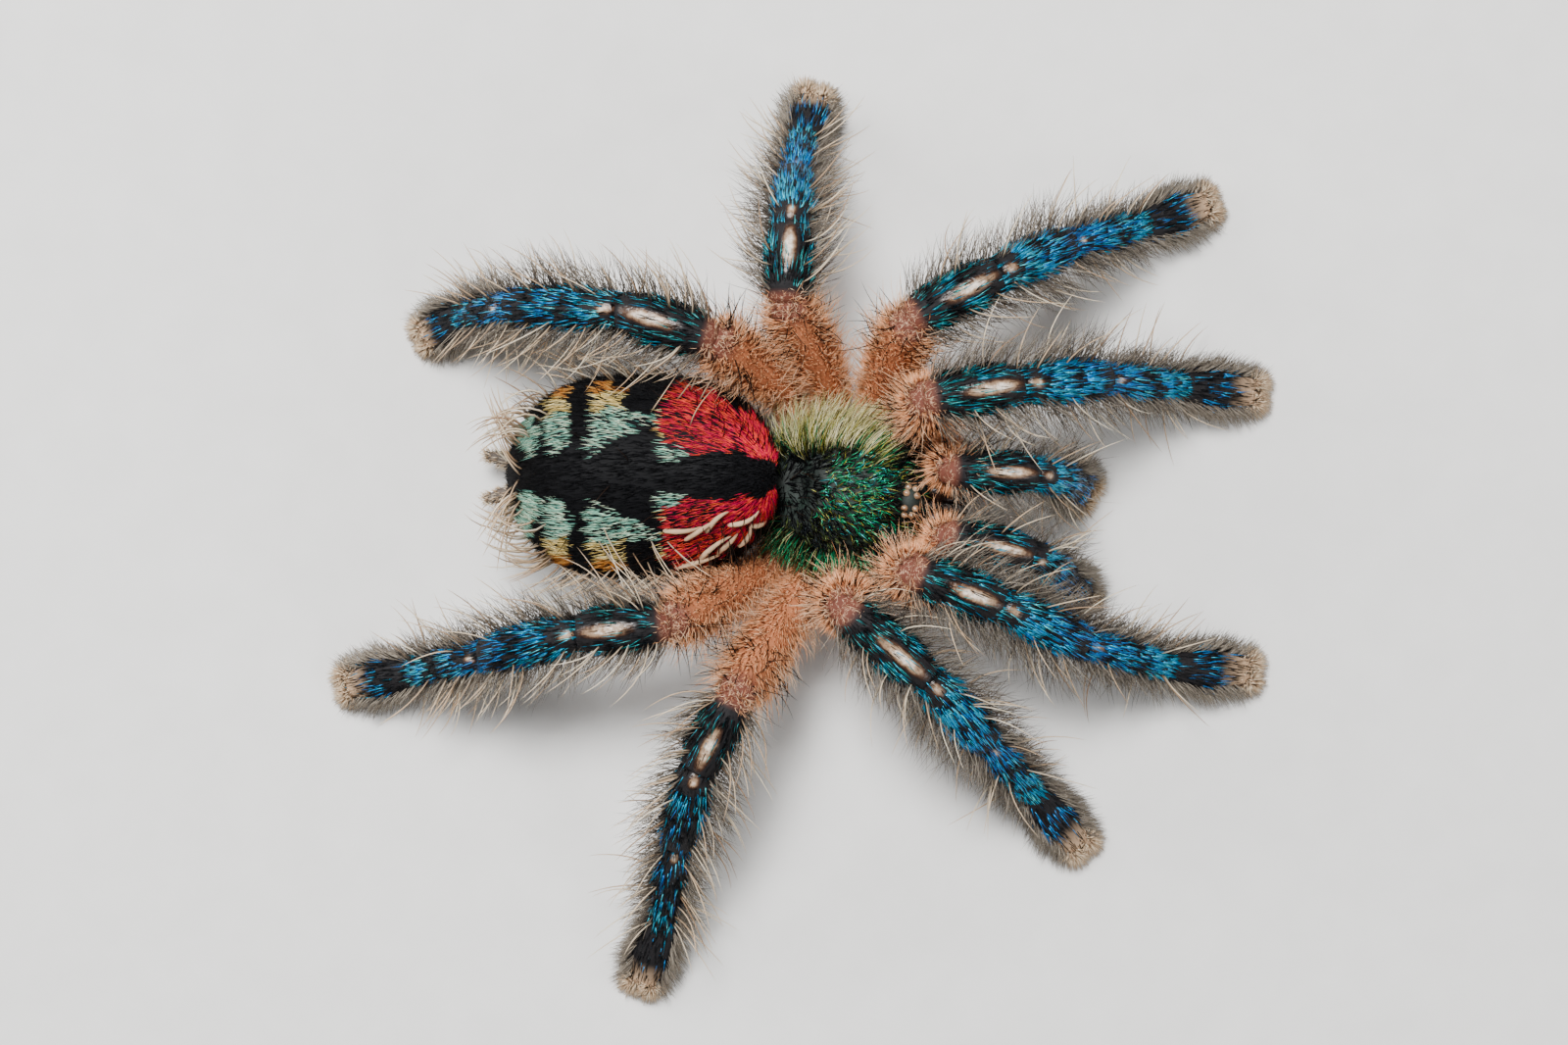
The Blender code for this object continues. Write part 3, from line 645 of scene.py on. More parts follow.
def limb_shell(name, segments, material, slot):
    """The limb's hard shell: a swelling barrel for each segment, rounded at both ends."""
    build = Build(f"{name}_shell")
    columns, rows = 20, 14
    angles = np.linspace(-180.0, 180.0, columns, endpoint=False)
    for segment in segments:
        turn = np.linspace(0.0, math.pi, rows)
        share = 0.5 - 0.5 * np.cos(turn)
        grid_share, grid_angle = np.meshgrid(share, angles, indexing="ij")
        skin, _ = on_segment(segment, grid_share, grid_angle)
        middle = segment.start + (segment.end - segment.start) * grid_share[..., None]
        closing = np.clip(np.sin(turn) * END_ROUNDING, 0.05, 1.0)[:, None, None]
        stretch = segment.along * ((grid_share - 0.5) * 2.0 * JOINT_OVERLAP)[..., None]
        grid = middle + (skin - middle) * closing + stretch
        grid[..., 2] = np.maximum(grid[..., 2], LEAST_HEIGHT)
        build.add_grid(grid, (segment.index + share) / len(LEG_KINDS))
    for centre in claw_tuft_centres(segments[-1]):
        build.add_grid(*ellipsoid(centre, (CLAW_TUFT_RADIUS * 0.8,) * 3, 14, 8, 0.995))
    return build.finish([material], slot, replaces=(name,))


def ellipsoid(centre, radii, columns, rows, mark=None):
    """Rings of points over an ellipsoid from pole to pole, and their first coordinate."""
    turn = np.linspace(0.06, math.pi - 0.06, rows)
    around = np.linspace(0.0, 2.0 * math.pi, columns, endpoint=False)
    turns, arounds = np.meshgrid(turn, around, indexing="ij")
    x = -np.cos(turns) * radii[0]
    y = np.sin(turns) * np.cos(arounds) * radii[1]
    z = np.sin(turns) * np.sin(arounds) * radii[2]
    lengthwise = turn / math.pi if mark is None else np.full(rows, mark)
    grid = np.asarray(centre) + np.stack([x, y, z], axis=-1)
    grid[..., 2] = np.maximum(grid[..., 2], LEAST_HEIGHT)
    return grid, lengthwise


def claw_tuft_centres(tarsus):
    along = unit(np.array([tarsus.along[0], tarsus.along[1], 0.0]))
    across = np.cross(along, UP)
    middle = np.array([tarsus.end[0], tarsus.end[1], CLAW_TUFT_HEIGHT]) + along * CLAW_TUFT_REACH
    return [middle + across * CLAW_TUFT_SPLAY * side for side in (-1, 1)]


def scattered(segment, count, shares, angles, chance):
    """Shares, angles, roots and ways out of hair at random places between two shares and two angles."""
    share = chance.uniform(*shares, count)
    angle = chance.uniform(*angles, count) * chance.choice([-1.0, 1.0], count)
    roots, outward = on_segment(segment, share, angle)
    return share, angle, roots - outward * ROOT_DEPTH, outward


def jitter(chance, count, amount):
    return chance.normal(0.0, amount, (count, 3))


def grow(build, segment, chance, count, coat):
    """Hair of one coat at random places of a segment."""
    roots, outward = scattered(segment, count, coat.shares, coat.angles, chance)[2:]
    level = unit(outward * np.array([1.0, 1.0, coat.rise]))
    ways = level + segment.along * chance.uniform(*coat.along, (count, 1))
    ways += jitter(chance, count, coat.unrest[0])
    bends = segment.along * chance.uniform(*coat.turn, (count, 1)) - level * coat.droop
    bends += jitter(chance, count, coat.unrest[1])
    tones = matte(coat.row, chance.normal(*coat.shades, count))
    build.add_hairs(roots, ways, bends, chance.uniform(*coat.lengths, count), coat.width, tones, coat.steps)


def patches(share, angle, chance):
    """A smooth uneven field over a segment, 0.03 to 1.5, by which its shine comes and goes."""
    phases = chance.uniform(0.0, 2.0 * math.pi, 3)
    turn = np.radians(angle)
    wide = np.sin(share * 15.0 + phases[0]) * np.cos(turn * 2.0 + phases[1])
    fine = np.sin(share * 34.0 + turn * 3.0 + phases[2])
    return np.clip(0.75 + 0.75 * wide + 0.45 * fine, 0.03, 1.5)


def flat_hair(build, segment, chance, shine):
    """Hair that lies flat along the hard segments, some dark and some shining, in loose bands."""
    kind = segment.kind
    length = np.linalg.norm(segment.end - segment.start)
    count = int(FLAT_HAIR_DENSITY * 2.0 * math.pi * segment.radius * length * 0.9)
    share, angle, roots, outward = scattered(segment, count, (-0.02, 0.98), (0.0, 180.0), chance)
    from_below = np.interp(np.abs(angle), (95.0, 150.0), (1.0, 0.2))
    bright_share = shine * np.interp(share, *zip(*SHINE[kind])) * from_below
    bright = chance.random(count) < bright_share * patches(share, angle, chance)
    if kind in BARE_PLATES:
        start, end, half_angle = BARE_PLATES[kind]
        along_plate = (share - (start + end) / 2.0) / (end - start) * 2.0
        inside_plate = along_plate**2 + (angle / half_angle) ** 2 < 1.0
        keep = ~inside_plate | (chance.random(count) < BARE_PLATE_HAIR)
        share, angle, bright = share[keep], angle[keep], bright[keep]
        roots, outward = roots[keep], outward[keep]
        count = len(share)
    ahead, _ = on_segment(segment, share + 0.02, angle)
    lengthwise = unit(ahead - roots - outward * ROOT_DEPTH)
    ways = lengthwise + outward * chance.uniform(0.03, 0.24, (count, 1)) + jitter(chance, count, 0.1)
    shade = chance.normal(0.5, 0.3, count)
    near, far = SHINE_COLOURS[kind]
    shining = np.where(chance.random(count) < share, sheen(far, shade), sheen(near, shade))
    tones = np.where(bright, shining, sheen("ink", shade))
    widths = chance.uniform(*FLAT_HAIR_WIDTHS[kind], count)
    lengths = chance.uniform(0.5, 0.95, count)
    roots = roots + outward * SHINING_LIFT * bright[:, None]
    build.add_hairs(roots, ways, 0.0 * ways, lengths, widths, tones, 1, 0.6, 1)


def claw_tuft_fur(build, segment, chance, count):
    """Short beige hair that stands out all over the two round pads."""
    for centre in claw_tuft_centres(segment):
        outward = unit(chance.normal(0.0, 1.0, (count, 3)) + segment.along * 0.4 + UP * 0.35)
        roots = centre + outward * CLAW_TUFT_RADIUS * 0.72
        ways = outward + segment.along * 0.25 + jitter(chance, count, 0.14)
        tones = matte("beige", chance.normal(0.55, 0.22, count))
        build.add_hairs(roots, ways, 0.0 * ways, chance.uniform(0.35, 0.68, count), 0.07, tones, 1)


def limb_fur(name, segments, materials, slot, chance):
    """All the hair of one limb."""
    build = Build(f"{name}_hair")
    scale = PALP_HAIR if name.startswith("palp") else 1.0
    for segment in segments:
        kind = segment.kind
        length = np.linalg.norm(segment.end - segment.start)
        if kind in ("coxa", "trochanter"):
            hip = COATS["underfur"]._replace(shares=(-0.1, 1.1))
            grow(build, segment, chance, int(HIP_HAIRS * length * scale), hip)
        if kind == "femur":
            for coat, count in FEMUR_HAIRS.items():
                grow(build, segment, chance, int(count * scale), COATS[coat])
        if kind == "patella":
            down = COATS["knee_down"]._replace(shares=(-0.04, 0.06))
            grow(build, segment, chance, int(PATELLA_DOWN * scale), down)
        if kind in SHINE:
            flat_hair(build, segment, chance, LIMB_SHINE.get(name, 1.0))
        if kind in FRINGE_LENGTHS:
            fringe = COATS["fringe"]._replace(lengths=FRINGE_LENGTHS[kind])
            grow(build, segment, chance, int(FRINGE_DENSITY * length * scale), fringe)
            bristles = int(BRISTLES.get(name[-1], PALP_BRISTLES) * length)
            grow(build, segment, chance, bristles, COATS["bristles"])
        if kind in BRUSH_HAIRS:
            brush = COATS["brush"]
            if kind == "tarsus":
                brush = brush._replace(angles=(50.0, 150.0))
            grow(build, segment, chance, int(BRUSH_HAIRS[kind] * length), brush)
        if kind == "tarsus":
            claw_tuft_fur(build, segment, chance, CLAW_TUFT_HAIRS)
    return build.finish(materials, slot)


def abdomen_swell(share):
    """Half width of the abdomen as a share of its greatest, blunter than an ellipse at both ends."""
    bluntness = np.where(share > 0.5, ABDOMEN_BLUNTNESS[1], ABDOMEN_BLUNTNESS[0])
    return np.sqrt(np.maximum(0.0, 1.0 - np.abs(2.0 * share - 1.0) ** bluntness))


def abdomen_places(share, angle):
    """Places on the abdomen: share of its length from the rear, and degrees from its top."""
    angle = np.radians(angle)
    swell = abdomen_swell(share)
    forward = np.maximum(0.0, 2.0 * share - 1.0) ** 2
    height = ABDOMEN_HALF_HEIGHT * swell * np.cos(angle)
    height = np.where(height < 0.0, height * (1.0 - ABDOMEN_FRONT_TUCK * forward), height)
    width = ABDOMEN_HALF_WIDTH * swell * np.sin(angle)
    local = np.stack([share * ABDOMEN_LENGTH, width, height + ABDOMEN_FRONT_LIFT * forward], axis=-1)
    return from_table(ABDOMEN_REAR) + local


def surface_ways(places, first, second, step=1e-3):
    """For a surface given by two numbers: the way of growing first, and the way out."""
    here = places(first, second)
    along = places(first + step, second) - here
    around = places(first, second + step * 60.0) - here
    return unit(along), unit(np.cross(along, around))


def inside(x, y, corners):
    """Which places lie inside a closed outline."""
    found = np.zeros(len(x), bool)
    for (x0, y0), (x1, y1) in zip(corners, corners[1:] + corners[:1]):
        if y0 != y1:
            found ^= ((y0 > y) != (y1 > y)) & (x < x0 + (y - y0) * (x1 - x0) / (y1 - y0))
    return found


def abdomen_tones(share, angle, chance, blur):
    """The colour of every place on the abdomen, from its marks, with edges blurred by chance."""
    level = np.sin(np.radians(angle)) * abdomen_swell(share)
    wobble = 0.02 * np.sin(share * 61.0 + level * 9.0) + 0.012 * np.sin(share * 23.0 - level * 37.0)
    side = np.abs(level) + wobble + chance.normal(0.0, blur * 2.0, len(share))
    along = 0.035 + 0.962 * share + 0.5 * wobble + chance.normal(0.0, blur, len(share))
    shade = chance.normal(0.5, 0.3, len(share))
    on_top = np.abs(angle) < 100.0
    tones = matte("black", shade)
    for row, corners in MARKS:
        found = inside(along, side, corners) & on_top
        tones = np.where(found, matte(row, shade), tones)
        warm = found & (chance.uniform(0.0, 1.0, len(share)) < np.interp(side, (0.3, 0.75), (0.15, 0.75)))
        if row == "red":
            tones = np.where(warm, matte(row, shade + 0.2), tones)
            tones = np.where(found & (side - along * 0.35 > 0.57), matte(row, shade + 0.35), tones)
        if row == "mint":
            outer = side + (0.35 - along) * 0.35 * (along < 0.35)
            for colour, edge in MINT_EDGES:
                tones = np.where(found & (outer > edge), matte(colour, shade), tones)
    return tones


def build_abdomen(fur, slot, chance):
    shell = Build("abdomen_shell")
    rows, columns = 48, 64
    share = 0.5 - 0.5 * np.cos(np.linspace(0.05, math.pi - 0.05, rows))
    shares, angles = np.meshgrid(share, np.linspace(180.0, -180.0, columns, endpoint=False), indexing="ij")
    tones = np.full((rows - 1) * columns, matte("black", 0.5))
    shell.add_grid(abdomen_places(shares, angles), share, tones=tones)
    stalk = np.stack([from_table(ABDOMEN_REAR) + STALK_START, front_body_place(STALK_END)])
    grid, lengthwise = tube(stalk, STALK_RADII, 16, 8)
    stalk_faces = (len(grid) - 1) * grid.shape[1]
    shell.add_grid(grid, lengthwise, tones=np.full(stalk_faces, matte("black", 0.5)))
    shell.finish([fur], slot, replaces=("abdomen",))

    build = Build("abdomen_hair")
    count = ABDOMEN_HAIRS
    share = 0.5 - 0.5 * np.cos(chance.uniform(0.08, math.pi - 0.08, count))
    angle = chance.uniform(-180.0, 180.0, count)
    keep = chance.random(count) < np.where(np.abs(angle) < 105.0, 1.0, 0.45)
    share, angle = share[keep], angle[keep]
    count = len(share)
    roots = abdomen_places(share, angle)
    forwards, outward = surface_ways(abdomen_places, share, angle)
    across = roots - abdomen_places(share, angle + 180.0)
    outward = outward * np.sign(np.sum(outward * across, axis=1))[:, None]
    ways = -forwards + outward * chance.uniform(0.06, 0.34, (count, 1)) + jitter(chance, count, 0.14)
    lengths = chance.uniform(*ABDOMEN_HAIR_LENGTHS, count)
    tones = abdomen_tones(np.maximum(0.0, share - 0.02), angle, chance, 0.004)
    roots = roots - outward * 0.04
    build.add_hairs(roots, ways, 0.0 * ways, lengths, ABDOMEN_HAIR_WIDTH, tones, 1, flat=0.7)
    build.finish([fur], slot)
    abdomen_bristles(fur, slot, chance)


def abdomen_bristles(fur, slot, chance):
    """Long pale hair along the sides and rear, dark bristles in front, and the hooked setae."""
    build = Build("abdomen_bristles")
    for count, shares, angles, lengths, width, row, lean, turn in ABDOMEN_BRISTLES:
        share = chance.uniform(*shares, count)
        side = chance.choice([-1.0, 1.0], count)
        angle = chance.uniform(*angles, count) * side
        roots = abdomen_places(share, angle)
        mirror = np.stack([np.ones(count), side, np.ones(count)], axis=1)
        ways = np.array(lean) * mirror + jitter(chance, count, 0.2)
        bends = np.array(turn) * mirror + jitter(chance, count, 0.3)
        tones = matte(row, chance.normal(0.55, 0.28, count))
        build.add_hairs(roots, ways, bends, chance.uniform(*lengths, count), width, tones, 6)
    hooked_setae(build, chance)
    build.finish([fur], slot)


def on_abdomen(plan):
    """Places on the upper side of the abdomen, over points given by their x and y."""
    local = plan - from_table(ABDOMEN_REAR)[:2]
    share = np.clip(local[:, 0] / ABDOMEN_LENGTH, 0.01, 0.99)
    level = np.clip(local[:, 1] / (ABDOMEN_HALF_WIDTH * abdomen_swell(share)), -0.98, 0.98)
    return abdomen_places(share, np.degrees(np.arcsin(level)))


def hooked_setae(build, chance):
    """Thick pale setae that lie over the right red patch, long behind and curled like fingers in front."""
    steps = 8
    for number, share in enumerate(np.linspace(*HOOK_SHARES, HOOKS)):
        ahead = number / (HOOKS - 1)
        heading = math.radians(np.interp(ahead, *HOOK_HEADINGS) + chance.normal(0.0, 12.0))
        curl = math.radians(np.interp(ahead, *HOOK_CURLS) + chance.normal(0.0, 20.0))
        length = np.interp(ahead, *HOOK_LENGTHS) * chance.uniform(0.75, 1.1)
        angle = HOOK_ANGLES[number % 2] + chance.normal(0.0, 4.0)
        plan = [abdomen_places(share, -angle)[:2]]
        for step in range(steps):
            turned = heading + curl * (step / steps) ** 1.5
            plan.append(plan[-1] + np.array([math.cos(turned), math.sin(turned)]) * length / steps)
        rise = HOOK_LIFT * np.sin(np.linspace(0.0, 0.85 * math.pi, steps + 1))
        columns, rows = 8, 14
        route = on_abdomen(np.array(plan)) + UP * rise[:, None]
        grid, lengthwise = tube(route, HOOK_RADII, columns, rows)
        # painted shade: each seta's colour darkens from its root towards its curled tip
        shades = np.repeat(np.linspace(0.5, 0.08, rows - 1) + chance.uniform(-0.1, 0.05), columns)
        build.add_grid(grid, lengthwise, tones=matte("beige", shades))


def tube(route, radii, columns, rows):
    """Rings along a smooth route whose ends are rounded, and their first coordinate."""
    route = np.asarray(route, float)
    places = np.linspace(0.0, 1.0, len(route))
    half_turn = np.linspace(0.0, math.pi, rows)
    share = 0.5 - 0.5 * np.cos(half_turn)
    middle = np.stack([np.interp(share, places, route[:, axis]) for axis in range(3)], axis=1)
    radius = np.interp(share, np.linspace(0.0, 1.0, len(radii)), radii)
    radius = radius * np.clip(np.sin(half_turn) * END_ROUNDING, 0.08, 1.0)
    along = unit(np.gradient(middle, axis=0))
    across = unit(np.cross(along, UP + 0.001))
    upward = np.cross(across, along)
    turn = np.linspace(0.0, 2.0 * math.pi, columns, endpoint=False)
    ring = across[:, None] * np.sin(turn)[None, :, None] + upward[:, None] * np.cos(turn)[None, :, None]
    return middle[:, None] + ring * radius[:, None, None], share


def carapace_top(x, y):
    """Height of the carapace above its rim, with its pit, furrows and raised head."""
    reach = np.hypot(x / CARAPACE_HALF_LENGTH, y / CARAPACE_HALF_WIDTH)
    dome = CARAPACE_RISE * np.sqrt(np.maximum(0.0, 1.0 - reach**2))
    head = HEAD_LIFT * np.exp(-(((x - HEAD_X) / HEAD_REACH) ** 2) - (y / HEAD_REACH) ** 2)
    angle = np.abs(np.degrees(np.arctan2(y / CARAPACE_HALF_WIDTH, x / CARAPACE_HALF_LENGTH)))
    nearest = np.min(np.abs(angle[..., None] - np.array(FURROW_ANGLES)), axis=-1)
    halfway = np.exp(-(((reach - FURROW_MIDDLE) / FURROW_REACH) ** 2))
    furrow = FURROW_DEPTH * halfway * np.exp(-((nearest / FURROW_WIDTH) ** 2))
    pit = FOVEA_DEPTH * np.exp(-(((x - FOVEA_X) / FOVEA_RADII[0]) ** 2) - (y / FOVEA_RADII[1]) ** 2)
    slope = 1.0 - REAR_SLOPE * np.maximum(0.0, -x / CARAPACE_HALF_LENGTH)
    return dome * slope + (head - furrow - pit) * np.minimum(1.0, dome)


def carapace_places(x, y):
    """Places on the carapace for a distance along and across it, in the front body's own frame."""
    return np.stack([x, y, FRONT_BODY_CENTRE[2] + carapace_top(x, y)], axis=-1)


def carapace_plan(reach, around):
    """Distances along and across the carapace, for shares of the way to its rim and angles in radians."""
    return CARAPACE_HALF_LENGTH * reach * np.cos(around), CARAPACE_HALF_WIDTH * reach * np.sin(around)


def build_front_body(shell_materials, hair_materials, slot, chance):
    shell = Build("carapace_shell")
    columns, rows = 72, 22
    around = np.linspace(0.0, 2.0 * math.pi, columns, endpoint=False)
    reach = np.sin(np.linspace(0.02, math.pi / 2.0, rows))
    reaches, arounds = np.meshgrid(reach, around, indexing="ij")
    x, y = carapace_plan(reaches, arounds)
    top = carapace_places(x, y)
    below = np.stack([x, y, FRONT_BODY_CENTRE[2] - CARAPACE_DROP * np.sqrt(1.0 - reaches**2)], axis=-1)
    grid = np.concatenate([top, below[::-1][1:]])
    shell.add_grid(front_body_place(grid), np.linspace(0.0, 1.0, len(grid)))
    middle = np.array(BREASTPLATE_MIDDLE) + [0.0, 0.0, FRONT_BODY_CENTRE[2]]
    mound_top = FRONT_BODY_CENTRE[2] + float(carapace_top(np.array([EYE_MOUND_X]), np.array([0.0]))[0])
    round_parts = [
        (middle, BREASTPLATE_RADII, 32, 14, 0),
        ((EYE_MOUND_X, 0.0, mound_top), EYE_MOUND_RADII, 24, 12, 0),
    ]
    for side in (-1, 1):
        for forwards, sideways in EYES:
            on_mound = 1.0 - (forwards / EYE_MOUND_RADII[0]) ** 2 - (sideways / EYE_MOUND_RADII[1]) ** 2
            height = mound_top + EYE_MOUND_RADII[2] * math.sqrt(max(0.0, on_mound))
            centre = (EYE_MOUND_X + forwards, side * sideways, height)
            round_parts.append((centre, (EYE_RADIUS,) * 3, 16, 10, 1))
    for centre, radii, columns, rows, material in round_parts:
        grid, lengthwise = ellipsoid(centre, radii, columns, rows)
        shell.add_grid(front_body_place(grid), lengthwise, slot=material)
    shell.finish(shell_materials, slot, replaces=("cephalothorax",))
    carapace_fur(hair_materials, slot, chance)


def carapace_fur(materials, slot, chance):
    """Flat hair that runs out from the pit, green where it shines, and all other hair of the carapace."""
    build = Build("carapace_hair")
    count = CARAPACE_HAIRS
    reach = np.sqrt(chance.uniform(0.0, 0.98, count))
    around = chance.uniform(0.0, 2.0 * math.pi, count)
    x, y = carapace_plan(reach, around)
    near_eyes = np.hypot((x - EYE_MOUND_X) / 0.85, y / 1.0)
    keep = (near_eyes > 1.0) | (chance.random(count) < 0.15)
    x, y, near_eyes = x[keep], y[keep], near_eyes[keep]
    count = len(x)
    pit = np.hypot((x - FOVEA_X) / FOVEA_RADII[0], y / FOVEA_RADII[1])
    away = unit(np.stack([x - FOVEA_X + 0.8, y, np.zeros(count)], axis=1))
    here = carapace_places(x, y)
    ahead = carapace_places(x + away[:, 0] * 0.02, y + away[:, 1] * 0.02)
    along = unit(ahead - here)
    beside = carapace_places(x - away[:, 1] * 0.02, y + away[:, 0] * 0.02)
    outward = unit(np.cross(along, beside - here))
    ways = along + outward * chance.uniform(0.12, 0.5, (count, 1)) + jitter(chance, count, 0.32)
    shade = chance.normal(0.55, 0.32, count)
    pick = chance.random(count)
    field = np.hypot((x - 1.5) / 2.9, y / 1.8) + chance.normal(0.0, 0.12, count)
    tones = np.where(pick < 0.58, sheen("green", shade), sheen("ink", shade))
    tones = np.where(pick < 0.13, sheen("gold", shade), tones)
    tones = np.where((pick > 0.48) & (pick < 0.58), sheen("teal", shade), tones)
    outer = np.where(pick < 0.35, sheen("olive", shade), sheen("ink", shade))
    tones = np.where((field > 1.0) | (near_eyes < 1.6) & (pick > 0.3), outer, tones)
    places = front_body_place(here - outward * 0.04)
    bends = turned_with_front_body(-outward * 0.3 + jitter(chance, count, 0.6))
    lengths = chance.uniform(*CARAPACE_HAIR_LENGTHS, count)
    widths = chance.uniform(*CARAPACE_HAIR_WIDTHS, count)
    hairs = (places, turned_with_front_body(ways), bends, lengths, widths)
    add_in_two(build, pit < 1.8, hairs, matte("black", shade), tones, 2)
    rim_hair(build, chance)
    dome_bristles(build, chance)
    build.finish(materials, slot)


def add_in_two(build, is_matte, hairs, matte_tones, sheen_tones, steps):
    """Adds hairs of which some take the matte material and the rest the shining one."""
    for found, tones, number in ((is_matte, matte_tones, 0), (~is_matte, sheen_tones, 1)):
        build.add_hairs(*(values[found] for values in hairs), tones[found], steps, flat=0.7, slot=number)


def rim_hair(build, chance):
    """Soft pale hair over the left rear, and darker hair over the right."""
    count = RIM_HAIRS
    around = chance.uniform(40.0, 330.0, count)
    inset = chance.uniform(0.5, 0.97, count)
    x, y = carapace_plan(inset, np.radians(around))
    keep = (y > 1.0) | (inset > 0.74)
    x, y = x[keep], y[keep]
    count = len(x)
    away = unit(np.stack([x / CARAPACE_HALF_LENGTH - 0.2, y / CARAPACE_HALF_WIDTH, np.zeros(count)], axis=1))
    lean = np.where(y > 0.0, 0.5, 0.1)[:, None] * np.array([1.0, 0.0, 0.0])
    ways = away + lean + UP * 0.4 + jitter(chance, count, 0.14)
    bends = np.array([0.5, 0.0, -0.5]) + jitter(chance, count, 0.22)
    shade = chance.normal(0.55, 0.28, count)
    pick = chance.random(count)
    left = y > 0.0
    outer = np.interp(y, (1.2, 2.4), (0.25, 1.0))
    pale = np.where(left, pick < outer * np.interp(x, (0.5, 2.2), (0.9, 0.1)), pick < 0.1)
    pale = pale & (np.abs(y) > 1.1)
    green = np.where(pick < 0.6, sheen("olive", shade * 0.7), sheen("green", shade * 0.4))
    green = np.where(left & (pick > 0.8), sheen("gold", shade), green)
    dark = np.where((x > 1.8) | (np.abs(y) < 1.2), sheen("ink", shade), green)
    lengths = np.where(left, chance.uniform(1.0, 2.2, count), chance.uniform(0.8, 1.7, count))
    lengths = np.where(np.abs(y) < 1.2, lengths * 0.55, lengths)
    places = front_body_place(carapace_places(x, y))
    ways, bends = turned_with_front_body(ways), turned_with_front_body(bends)
    hairs = (places, ways, bends, lengths, np.full(count, RIM_HAIR_WIDTH))
    add_in_two(build, pale, hairs, matte("meadow", shade), dark, 3)


def dome_bristles(build, chance):
    """A few dark bristles that stand on the carapace."""
    count = DOME_BRISTLES
    x = chance.uniform(-3.2, 4.0, count)
    y = chance.uniform(-2.6, 2.6, count) * np.sqrt(1.0 - (x / 4.3) ** 2)
    ways = turned_with_front_body(np.array([0.5, 0.0, 0.8]) + jitter(chance, count, 0.4))
    bends = turned_with_front_body(np.array([0.8, 0.0, -0.3]) + jitter(chance, count, 0.4))
    places = front_body_place(carapace_places(x, y))
    tones = matte("brown", chance.random(count))
    build.add_hairs(places, ways, bends, chance.uniform(0.6, 1.3, count), 0.045, tones, 5)


def build_small_pair(name, tubes, place, materials, slot, chance, hair_colour):
    """A pair of small tapering pieces with short hair."""
    for side, word in ((1.0, "left"), (-1.0, "right")):
        shell = Build(f"{name}_{word}_shell")
        fur = Build(f"{name}_{word}_hair")
        for number, (route, radii) in enumerate(tubes):
            points = place(np.array(route) * [1.0, side, 1.0])
            grid, lengthwise = tube(points, radii, 20, 16)
            shell.add_grid(grid, lengthwise, slot=number)
            if number:
                continue
            count = SMALL_PIECE_HAIRS
            row = chance.integers(1, 15, count)
            column = chance.integers(0, 20, count)
            middle = grid.mean(axis=1)
            roots = grid[row, column]
            outward = unit(roots - middle[row])
            along = unit(middle[row] - middle[row - 1])
            ways = outward * 0.6 + along * 0.7 + jitter(chance, count, 0.2)
            tones = matte(hair_colour, chance.normal(0.65, 0.25, count))
            fur.add_hairs(roots, ways, 0.0 * ways, chance.uniform(0.2, 0.5, count), 0.045, tones, 1)
        shell.finish(materials[1:], slot, replaces=(f"{name}_{word}",))
        fur.finish(materials[:1], slot)


